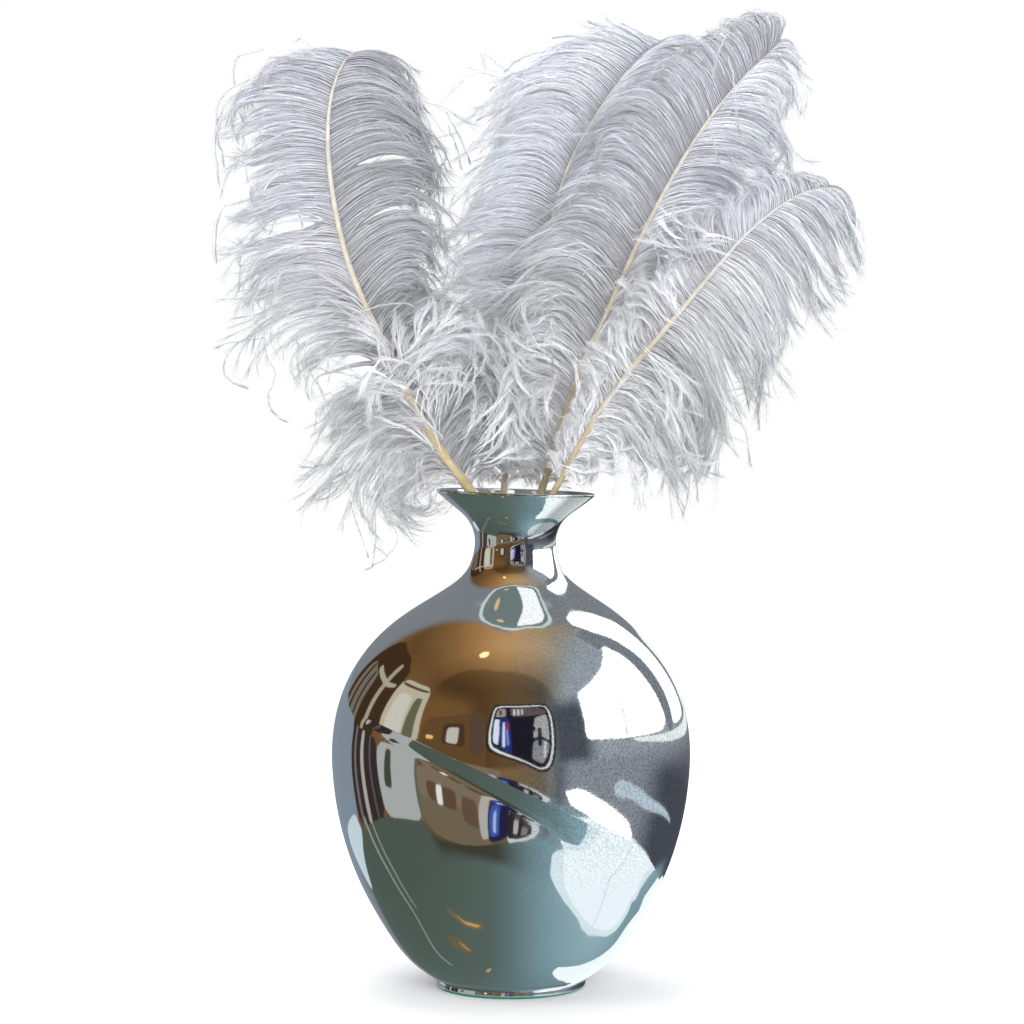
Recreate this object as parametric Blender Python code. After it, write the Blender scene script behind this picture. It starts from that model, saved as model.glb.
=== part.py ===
"""Four white ostrich plumes standing in a silvered glass vase. Lengths in metres, +Z up, front is -Y."""
import bmesh
import bpy
import math
import numpy as np

MM = 0.001

# vase: outline of the outside as (radius, height), from the foot to the lip
VASE_OUTLINE = [(46.5, 5), (58.8, 14.9), (74.7, 36.3), (90, 64.8), (99.7, 93.3), (104.6, 121.7), (105.3, 143),
                (100.1, 171.4), (84.4, 199.7), (61.2, 220.9), (39.4, 235.1), (28.1, 245.7), (24.6, 256),
                (24.2, 266), (28.5, 275.7), (36.8, 282.8), (47.6, 291.6)]
VASE_SIDES = 40
WALL = 3.8
LIP_WALL = 2.0
FOOT_RADIUS = 44.0
FOOT_HEIGHT = 5.0
FLOOR_HEIGHT = 8.5
NECK_SHIFT = 2.7          # the neck stands off the body's axis, towards +X
RIM_TILT = 1.8            # degrees, lower on the +X side
STEP_HEIGHT = 119.0       # height of the diagonal step on the axis
STEP_SLOPE = 25.6         # degrees, down towards +X
STEP_LEAN = 9.5           # degrees, up towards the front
STEP_DEPTH = 4.2
STEP_FADE = 55.0
STEP_LEDGE = 1.6

# plumes: shaft as points from the lower end, quill radius by distance along the shaft, and both vanes.
# A vane row is: distance along the shaft, elbow (x, z) and tip (x, z) of the lock from its root, tip's drop back (y)
LOCKS = 20
ROWS = (0.0, 0.2, 0.4, 0.6, 0.8, 1.0)
THICK = (1.2, 1.0, 0.9, 0.8, 0.7, 0.6)
WIDE = (1.0, 1.0, 0.9, 0.84, 0.74, 0.5)
PLUMES = {
    "left_feather": {
        "shaft": [(91, -4, 113), (40, -6, 192), (-9, -8, 268), (-26, -12, 296), (-41, -16, 316),
                  (-58, -21, 346), (-75, -26, 381), (-92, -31, 420), (-103, -36, 469), (-105, -36, 500),
                  (-102, -31, 525), (-96, -20, 541), (-89, -4, 549)],
        "quill": [(0, 2.6), (60, 3.4), (200, 3.6), (262, 2.8), (330, 2), (430, 1.5), (500, 0.6), (530, 0.4)],
        "quill_rings": 7,
        "vane": (223, 503),
        "ruffle": 1.6,
        "left": [(223, -14, 20, -38, -46, 2), (246, -35, 29, -51, -60, 6), (276, -30, 13, -57, -26, 10),
                 (301, -35, 23, -65, -27, 10), (323, -46, 23, -87, -18, 14), (353, -38, 30, -75, -13, 22),
                 (387, -29, 38, -68, -20, 30), (424, -36, 30, -62, -20, 38), (455, -35, 29, -60, -18, 40),
                 (480, -32, 24, -59, -14, 30), (499, -22, 10, -47, -9, 16)],
        "right": [(223, 12, 15, 30, 2, 6), (246, 15, 26, 35, 9, 8), (276, 14, 29, 35, 18, 8),
                  (298, 10, 31, 33, 36, 8), (314, 9, 29, 29, 17, 16), (349, 19, 53, 45, -3, 28),
                  (387, 26, 49, 62, -12, 36), (424, 31, 38, 72, -25, 42), (461, 33, 32, 67, -33, 40),
                  (483, 28, 16, 54, -32, 26), (499, 22, 4, 37, -21, 14)],
        "tone": (0.86, 0.86, 0.88),
    },
    "back_feather": {
        "shaft": [(-41, -24, 17), (-25, -3, 145), (-6, 15, 268), (-3, 20, 304), (1, 26, 331), (7, 33, 369),
                  (16, 41, 411), (25, 48, 453), (34, 54, 484), (54, 60, 521), (71, 68, 545), (85, 80, 559),
                  (97, 95, 567)],
        "quill": [(0, 2), (40, 2.3), (290, 2.2), (420, 1.6), (520, 1), (600, 0.4)],
        "quill_rings": 7,
        "vane": (292, 593),
        "ruffle": 1.6,
        "left": [(292, -12, 14, -19, -8, 2), (338, -20, 14, -38, -20, 5), (383, -22, 19, -50, -19, 12),
                 (426, -30, 26, -65, -18, 22), (462, -33, 30, -71, -17, 32), (495, -32, 30, -75, -14, 38),
                 (521, -32, 23, -77, -9, 38), (539, -32, 23, -77, -4, 34), (555, -28, 24, -70, 7, 26),
                 (570, -22, 18, -54, 10, 14), (582, -8, 12, -31, 12, 7)],
        "right": [(292, 15, 13, 22, -7, 2), (338, 24, 22, 35, -14, 4), (383, 29, 25, 49, -14, 12),
                  (426, 30, 30, 59, -15, 24), (462, 33, 31, 64, -16, 32), (495, 33, 30, 66, -16, 38),
                  (521, 30, 24, 63, -13, 38), (539, 28, 22, 57, -9, 32), (555, 26, 18, 49, -2, 24),
                  (570, 18, 9, 36, 0, 14), (582, 13, 10, 25, 3, 8)],
        "tone": (0.86, 0.86, 0.88),
    },
    "tall_feather": {
        "shaft": [(-46, 32, 23), (-18, 25, 146), (11, 15, 268), (21, 11, 301), (32, 7, 338), (47, 2, 377),
                  (57, -1, 398), (72, -6, 432), (86, -8, 460), (108, -8, 498), (129, -4, 526),
                  (146, 6, 544), (157, 20, 555)],
        "quill": [(0, 2), (40, 2.3), (300, 2.2), (400, 1.7), (480, 1.2), (560, 0.6), (600, 0.4)],
        "quill_rings": 7,
        "vane": (288, 583),
        "ruffle": 1.6,
        "left": [(288, -15, 16, -23, -6, 0), (327, -20, 37, -45, -12, 3), (357, -23, 50, -57, -7, 8),
                 (391, -27, 55, -65, 3, 12), (425, -28, 58, -65, 5, 16), (456, -25, 53, -60, 10, 20),
                 (490, -17, 50, -52, 16, 24), (521, -16, 47, -43, 20, 24), (546, -12, 40, -33, 18, 20),
                 (565, -7, 37, -26, 18, 12), (580, 1, 30, -13, 21, 6)],
        "right": [(288, 8, 14, 18, -6, 0), (327, 15, 19, 27, -4, 4), (357, 19, 26, 37, 0, 10),
                  (391, 22, 30, 45, 2, 18), (425, 29, 30, 57, -4, 26), (456, 32, 28, 61, -8, 32),
                  (490, 37, 24, 60, -10, 34), (521, 33, 28, 56, -14, 32), (546, 28, 27, 42, -17, 26),
                  (565, 19, 17, 26, -14, 14), (580, 9, 16, 12, -6, 8)],
        "tone": (0.86, 0.86, 0.88),
    },
    "right_feather": {
        "shaft": [(-90, -19, 104), (-41, -17, 184), (11, -15, 268), (27, -18, 296), (42, -23, 324),
                  (63, -31, 356), (83, -38, 380), (112, -49, 415), (135, -57, 441), (155, -62, 457),
                  (170, -66, 464), (183, -68, 465)],
        "quill": [(0, 1.8), (40, 2.2), (240, 2.1), (330, 1.9), (400, 0.9), (470, 0.4)],
        "quill_rings": 7,
        "vane": (235, 463),
        "ruffle": 1.6,
        "left": [(235, -8, 6, -6, 17, 0), (263, -10, 11, -5, 26, 2), (288, -8, 14, -1, 31, 4),
                 (314, -7, 16, 2, 35, 7), (337, -6, 19, 7, 38, 10), (365, -1, 20, 13, 39, 12),
                 (398, 4, 19, 17, 37, 12), (423, 6, 16, 15, 29, 10), (440, 4, 11, 11, 17, 8),
                 (451, 2, 9, 9, 10, 5), (459, 3, 5, 9, 4, 3)],
        "right": [(235, 10, 6, 14, -7, -4), (263, 20, 12, 19, -33, -6), (288, 29, 12, 35, -57, -4),
                  (314, 36, 3, 44, -59, 2), (337, 37, -1, 50, -55, 8), (365, 36, -4, 51, -44, 16),
                  (398, 34, -5, 47, -44, 22), (423, 33, -3, 40, -43, 24), (440, 31, 1, 36, -41, 22),
                  (451, 29, 1, 32, -34, 18), (459, 20, 2, 22, -22, 12)],
        "tone": (0.86, 0.86, 0.88),
    },
}


def natural_spline(points, count):
    """count points on the natural cubic spline through points, evenly spread in chord length"""
    points = np.asarray(points, float)
    knots = np.concatenate([[0.0], np.cumsum(np.linalg.norm(np.diff(points, axis=0), axis=1))])
    last = len(points) - 1
    gap = np.diff(knots)
    system = np.eye(last + 1)
    right = np.zeros_like(points)
    for i in range(1, last):
        system[i, i - 1:i + 2] = gap[i - 1], 2 * (gap[i - 1] + gap[i]), gap[i]
        right[i] = 6 * ((points[i + 1] - points[i]) / gap[i] - (points[i] - points[i - 1]) / gap[i - 1])
    bend = np.linalg.solve(system, right)
    at = np.linspace(0, knots[-1], count)
    i = np.clip(np.searchsorted(knots, at, side="right") - 1, 0, last - 1)
    h = gap[i][:, None]
    a = (knots[i + 1] - at)[:, None] / h
    b = 1 - a
    return a * points[i] + b * points[i + 1] + ((a**3 - a) * bend[i] + (b**3 - b) * bend[i + 1]) * h * h / 6


def unit(vectors):
    return vectors / np.linalg.norm(vectors, axis=-1, keepdims=True)


def smooth(low, high, value):
    x = np.clip((value - low) / (high - low), 0, 1)
    return x * x * (3 - 2 * x)


def new_material(name, colour, metallic, roughness):
    material = bpy.data.materials.new(name)
    material.use_nodes = True
    shader = material.node_tree.nodes["Principled BSDF"]
    shader.inputs["Base Color"].default_value = (*colour, 1)
    shader.inputs["Metallic"].default_value = metallic
    shader.inputs["Roughness"].default_value = roughness
    return material


def add_solid(name, points, faces, material):
    """one closed mesh object, its faces turned outwards"""
    mesh = bpy.data.meshes.new(name)
    mesh.from_pydata([tuple(point) for point in points], [], faces)
    work = bmesh.new()
    work.from_mesh(mesh)
    bmesh.ops.recalc_face_normals(work, faces=work.faces)
    if work.calc_volume(signed=True) < 0:
        bmesh.ops.reverse_faces(work, faces=work.faces)
    bmesh.ops.triangulate(work, faces=work.faces)
    work.to_mesh(mesh)
    work.free()
    mesh.shade_smooth()
    mesh.set_sharp_from_angle(angle=math.radians(35))
    mesh.materials.append(material)
    solid = bpy.data.objects.new(name, mesh)
    bpy.context.scene.collection.objects.link(solid)
    return solid


class VaseSkin:
    """outside of the vase as a function of direction and height, with its diagonal step"""

    def __init__(self):
        line = natural_spline(VASE_OUTLINE, 800) * MM
        self.radii = line[:, 0]
        self.heights = line[:, 1]

    def radius(self, z):
        return np.interp(z, self.heights, self.radii)

    def step_height(self, angle):
        """height at which the tilted step plane meets the body in this direction"""
        z = STEP_HEIGHT * MM
        for _ in range(30):
            r = self.radius(z)
            fall = math.tan(math.radians(STEP_SLOPE)) * r * math.cos(angle)
            lean = math.tan(math.radians(STEP_LEAN)) * r * math.sin(angle)
            z = 0.5 * z + 0.5 * (STEP_HEIGHT * MM - fall - lean)
        return z

    def step_depth(self, angle):
        """the step is full across the front and fades out before the left and right sides"""
        turn = math.degrees(math.atan2(math.cos(angle), -math.sin(angle)))
        return STEP_DEPTH * MM * smooth(-85, -35, turn) * smooth(90, 58, turn)

    def hollow(self, z, angle, onset):
        """how far the surface is drawn in under the step, over a soft or sharp onset"""
        below = (self.step_height(angle) - z) / (STEP_FADE * MM)
        return self.step_depth(angle) * smooth(-onset, 0, below) * (1 - smooth(0, 1, below))

    def row_height(self, level, angle):
        """heights are stretched so that the level STEP_HEIGHT lies on the step"""
        low, middle, high = 8 * MM, STEP_HEIGHT * MM, 222 * MM
        step = self.step_height(angle)
        if level <= low or level >= high:
            return level
        if level <= middle:
            return low + (level - low) * (step - low) / (middle - low)
        return high - (high - level) * (high - step) / (high - middle)


def place(x, y, z):
    """moves the neck sideways and tips the mouth"""
    x = x + NECK_SHIFT * MM * smooth(0.205, 0.262, z)
    z = z - x * math.tan(math.radians(RIM_TILT)) * smooth(0.262, 0.292, z)
    return (x, y, z)


def add_vase():
    skin = VaseSkin()
    levels_low = [5, 13, 25, 42, 62, 82, 101, 117.4]
    levels_high = [119, 136, 154, 172, 189, 204, 217]
    levels_neck = [227, 235, 243, 254, 265, 273, 280, 286, 291.6]
    turns = [2 * math.pi * i / VASE_SIDES for i in range(VASE_SIDES)]
    points = []

    def ring(height_of, radius_of):
        start = len(points)
        for angle in turns:
            z = height_of(angle)
            r = radius_of(angle, z)
            points.append(place(r * math.cos(angle), r * math.sin(angle), z))
        return [start + i for i in range(VASE_SIDES)]

    rings = []
    rings.append(ring(lambda a: 0.0, lambda a, z: (FOOT_RADIUS - 1.2) * MM))
    rings.append(ring(lambda a: 1.2 * MM, lambda a, z: FOOT_RADIUS * MM))
    rings.append(ring(lambda a: (FOOT_HEIGHT - 0.6) * MM, lambda a, z: FOOT_RADIUS * MM))
    for level in levels_low:
        def height_of(a, level=level):
            if level > 117:
                return skin.step_height(a) - STEP_LEDGE * MM * skin.step_depth(a) / (STEP_DEPTH * MM) - 0.2 * MM
            return skin.row_height(level * MM, a)

        rings.append(ring(height_of, lambda a, z: skin.radius(z) - skin.hollow(z, a, 0.001)))
    for level in levels_high + levels_neck:
        rings.append(ring(lambda a: skin.row_height(level * MM, a), lambda a, z: skin.radius(z)))

    # inside, from the lip down to the floor, at the wall's thickness measured square to the outline
    slope = np.gradient(np.stack([skin.radii, skin.heights], 1), axis=0)
    slope = unit(slope)
    for level in (290.5, 282, 272, 261, 246, 234, 221, 204, 180, 152, 124, 96, 68, 40, 22, 12):
        z = level * MM
        wall = (LIP_WALL + (WALL - LIP_WALL) * smooth(0.290, 0.262, z)) * MM
        dr = wall * np.interp(z, skin.heights, slope[:, 0])
        dz = wall * np.interp(z, skin.heights, slope[:, 1])
        rings.append(ring(lambda a: z + dr, lambda a, _: skin.radius(z) - dz - skin.hollow(z, a, 0.2)))
    rings.append(ring(lambda a: FLOOR_HEIGHT * MM, lambda a, z: 36 * MM))

    faces = []
    for lower, upper in zip(rings, rings[1:]):
        for i in range(VASE_SIDES):
            j = (i + 1) % VASE_SIDES
            faces.append((lower[i], lower[j], upper[j], upper[i]))
    under = len(points)
    points.append((0.0, 0.0, 0.0))
    floor = len(points)
    points.append((0.0, 0.0, FLOOR_HEIGHT * MM))
    for i in range(VASE_SIDES):
        j = (i + 1) % VASE_SIDES
        faces.append((under, rings[0][j], rings[0][i]))
        faces.append((floor, rings[-1][i], rings[-1][j]))
    add_solid("vase", points, faces, new_material("silvered_glass", (0.80, 0.82, 0.82), 1.0, 0.06))


class Shaft:
    """centre line of a plume's shaft with a frame that doesn't twist: tangent, dorsal normal, side"""

    def __init__(self, points, radii):
        self.line = natural_spline(points, 600) * MM
        steps = np.linalg.norm(np.diff(self.line, axis=0), axis=1)
        self.along = np.concatenate([[0.0], np.cumsum(steps)])
        self.length = self.along[-1]
        self.tangent = unit(np.gradient(self.line, axis=0))
        self.normal = np.zeros_like(self.line)
        normal = np.array([0.0, -1.0, 0.0])
        for i, tangent in enumerate(self.tangent):
            normal = normal - (normal @ tangent) * tangent
            normal = normal / np.linalg.norm(normal)
            self.normal[i] = normal
        self.radii = np.array(radii, float) * MM

    def at(self, distance):
        def pick(table):
            return np.array([np.interp(distance, self.along, table[:, k]) for k in range(3)])
        point = pick(self.line)
        tangent = unit(pick(self.tangent))
        normal = pick(self.normal)
        normal = unit(normal - (normal @ tangent) * tangent)
        return point, tangent, normal, np.cross(tangent, normal)

    def radius(self, distance):
        return float(np.interp(distance, self.radii[:, 0], self.radii[:, 1]))


class Vane:
    """locks of one side: each follows an arch from its root on the shaft over the elbow to the tip"""

    def __init__(self, shaft, rows):
        self.shaft = shaft
        self.rows = np.array(rows, float) * MM

    def point(self, distance, t):
        root, _, _, _ = self.shaft.at(distance)
        ex, ez, tx, tz, ty = [np.interp(distance, self.rows[:, 0], self.rows[:, k]) for k in range(1, 6)]
        elbow = np.array([ex, 0.05 * ty, ez])
        tip = np.array([tx, ty, tz])
        return root + 2 * t * (1 - t) * elbow + t * t * tip

    def frame(self, distance, t):
        """place and vane normal at share t of the lock rooted at distance"""
        here = self.point(distance, t)
        along = unit(self.point(distance, t + 0.01) - self.point(distance, t - 0.01))
        _, _, normal, _ = self.shaft.at(distance)
        return here, unit(normal - (normal @ along) * along)


def add_plume(name, spec, material):
    shaft = Shaft(spec["shaft"], spec["quill"])
    vane_from, vane_to = [value * MM for value in spec["vane"]]
    stations = list(np.linspace(0, vane_from, spec["quill_rings"] + 1))[:-1]
    first = len(stations)
    columns = list(np.linspace(vane_from, vane_to, LOCKS + 1))
    stations += columns + [shaft.length]
    points = []
    faces = []

    rings = []
    for distance in stations:
        centre, _, normal, side = shaft.at(distance)
        r = max(shaft.radius(distance), 1.2 * MM)
        h = max(0.45 * r, 0.6 * MM)
        w = 0.87 * r
        start = len(points)
        for up, out in ((r, 0), (h, w), (-h, w), (-r, 0), (-h, -w), (h, -w)):
            points.append(centre + up * normal + out * side)
        rings.append([start + i for i in range(6)])
    last = first + LOCKS
    for k in range(len(rings) - 1):
        low, high = rings[k], rings[k + 1]
        for i in range(6):
            if i in (1, 4) and first <= k < last:
                continue
            j = (i + 1) % 6
            faces.append((low[i], low[j], high[j], high[i]))
    faces.append(tuple(rings[0]))
    faces.append(tuple(rings[-1]))

    for sign, rows in ((-1, spec["left"]), (1, spec["right"])):
        vane = Vane(shaft, rows)
        front_slot, back_slot = (1, 2) if sign > 0 else (5, 4)
        roots = [(rings[first + i][front_slot], rings[first + i][back_slot]) for i in range(LOCKS + 1)]
        web = []
        for distance in columns:
            here, normal = vane.frame(distance, ROWS[1])
            start = len(points)
            points.append(here + THICK[1] * MM * normal)
            points.append(here - THICK[1] * MM * normal)
            web.append((start, start + 1))
        for i in range(LOCKS):
            faces.append((roots[i][0], web[i][0], web[i + 1][0], roots[i + 1][0]))
            faces.append((roots[i][1], roots[i + 1][1], web[i + 1][1], web[i][1]))
        for i in (0, LOCKS):
            faces.append((roots[i][0], web[i][0], web[i][1], roots[i][1]))
        for i in range(LOCKS):
            middle = 0.5 * (columns[i] + columns[i + 1])
            reach = 1.0 - 0.07 * ((i * 7) % 3)
            lift = (-1, 1)[i % 2] * spec["ruffle"] * MM
            edges = [(web[i], web[i + 1])]
            for row in range(2, len(ROWS)):
                t = ROWS[row]
                t = t * (1 + (reach - 1) * smooth(0.4, 1.0, t))
                here, normal = vane.frame(middle, t)
                pair = []
                for neighbour in (columns[i], columns[i + 1]):
                    edge = here + WIDE[row] * (vane.point(neighbour, t) - here)
                    edge = edge + normal * lift * smooth(0.2, 0.6, t)
                    start = len(points)
                    points.append(edge + THICK[row] * MM * normal)
                    points.append(edge - THICK[row] * MM * normal)
                    pair.append((start, start + 1))
                edges.append(tuple(pair))
            for (a, b), (c, d) in zip(edges, edges[1:]):
                faces.append((a[0], c[0], d[0], b[0]))
                faces.append((a[1], b[1], d[1], c[1]))
                faces.append((a[0], a[1], c[1], c[0]))
                faces.append((b[0], d[0], d[1], b[1]))
            a, b = edges[-1]
            faces.append((a[0], a[1], b[1], b[0]))
    add_solid(name, points, faces, material)


def build():
    for item in list(bpy.data.objects):
        bpy.data.objects.remove(item, do_unlink=True)
    add_vase()
    for name, spec in PLUMES.items():
        material = new_material(name.replace("feather", "plume"), spec["tone"], 0.0, 0.8)
        add_plume(name, spec, material)


build()
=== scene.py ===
import math
from collections import namedtuple

import bpy
import numpy as np
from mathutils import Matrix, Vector
from mathutils.geometry import delaunay_2d_cdt


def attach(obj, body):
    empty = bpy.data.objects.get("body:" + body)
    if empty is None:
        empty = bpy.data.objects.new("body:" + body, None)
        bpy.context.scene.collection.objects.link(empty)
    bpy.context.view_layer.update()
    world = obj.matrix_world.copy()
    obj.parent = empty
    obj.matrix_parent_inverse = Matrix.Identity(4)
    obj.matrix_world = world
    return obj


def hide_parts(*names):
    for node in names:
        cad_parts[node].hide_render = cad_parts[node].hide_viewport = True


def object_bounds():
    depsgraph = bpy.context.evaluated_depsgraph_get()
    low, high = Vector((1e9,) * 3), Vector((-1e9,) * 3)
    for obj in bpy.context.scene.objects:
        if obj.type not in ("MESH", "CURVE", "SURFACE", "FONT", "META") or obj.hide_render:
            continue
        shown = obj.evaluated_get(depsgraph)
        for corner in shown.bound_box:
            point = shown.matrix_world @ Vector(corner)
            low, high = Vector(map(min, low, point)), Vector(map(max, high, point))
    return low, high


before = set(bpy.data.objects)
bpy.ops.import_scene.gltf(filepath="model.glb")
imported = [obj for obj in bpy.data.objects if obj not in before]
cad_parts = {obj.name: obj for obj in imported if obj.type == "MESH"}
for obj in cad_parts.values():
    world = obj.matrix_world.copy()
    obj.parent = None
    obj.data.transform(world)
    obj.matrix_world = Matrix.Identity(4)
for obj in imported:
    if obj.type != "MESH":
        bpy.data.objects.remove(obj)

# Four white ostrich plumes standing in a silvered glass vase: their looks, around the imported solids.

MM = 0.001
CAD_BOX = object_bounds()

# ---- vase, in millimetres and degrees
# its outline (radius, height) and its sizes are those of the CAD source
VASE_OUTLINE = [
    (46.4, 6.2), (58.6, 15.4), (74.7, 36.3), (90, 64.8), (99.7, 93.3), (104.6, 121.7), (105.3, 143),
    (100.1, 171.4), (84.4, 199.7), (61.2, 220.9), (39.4, 235.1), (28.1, 245.7), (24.6, 256), (24.2, 266),
    (28.5, 275.7), (36.8, 282.8), (47.6, 291.6)]
VASE_SIDES = 224
WALL = 3.8
LIP_WALL = 2.0
LIP_HEIGHT = 290.4  # where the lip's round edge begins
WALL_THINS = (290, 262)  # between these heights, going down, the lip's wall grows to the vase's
FOOT_RADIUS = 44.0
FOOT_HEIGHT = 6.2
FLOOR_HEIGHT = 8.5
FLOOR_RADIUS = 36
PINHOLE = 0.02  # radius of the smallest ring, at the middle of the foot and the floor
NECK_SHIFT = 2.7
NECK_SHIFTS = (205, 262)  # heights between which the neck moves sideways
RIM_TILT = 1.8
RIM_TILTS = (262, 292)  # heights between which the mouth tips
STEP_HEIGHT = 116.4
STEP_SLOPE = 25.6
STEP_LEAN = 8.2
STEP_DEPTH = 4.2
STEP_FADE = 55.0
STEP_BEND = 19.0  # the step turns down towards its right end by this much
STEP_LEDGE = 14.0  # the step's underside runs in over this height
STEP_EASE = 0.75  # and over this share more at its right end, which the CAD source doesn't have
# degrees round the vase, to the right from its front, over which the step appears, ends, bends and eases
STEP_APPEARS = (-60, -10)
STEP_ENDS = (88, 58)
BEND_APPEARS = (40, 90)
BEND_ENDS = (165, 120)
EASE_APPEARS = (11, 25)
# rows of points: they are level below and above these heights and follow the step between them
LEVEL_BELOW = 8
LEVEL_ABOVE = 222
WALL_ROWS = 34
LEDGE_ROWS = 44
STEP_EDGE = (0, 0.3, 0.8, 1.6, 2.8, 5)  # above the step
LIP_TURNS = (20, 50, 80, 110, 140, 165)
MOUTH_ROWS = 24
MOUTH_INSIDE = (289.6, 240)
INSIDE_ROWS = (234, 226, 214, 200, 180, 152, 124, 96, 68, 40, 22, 12)

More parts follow.
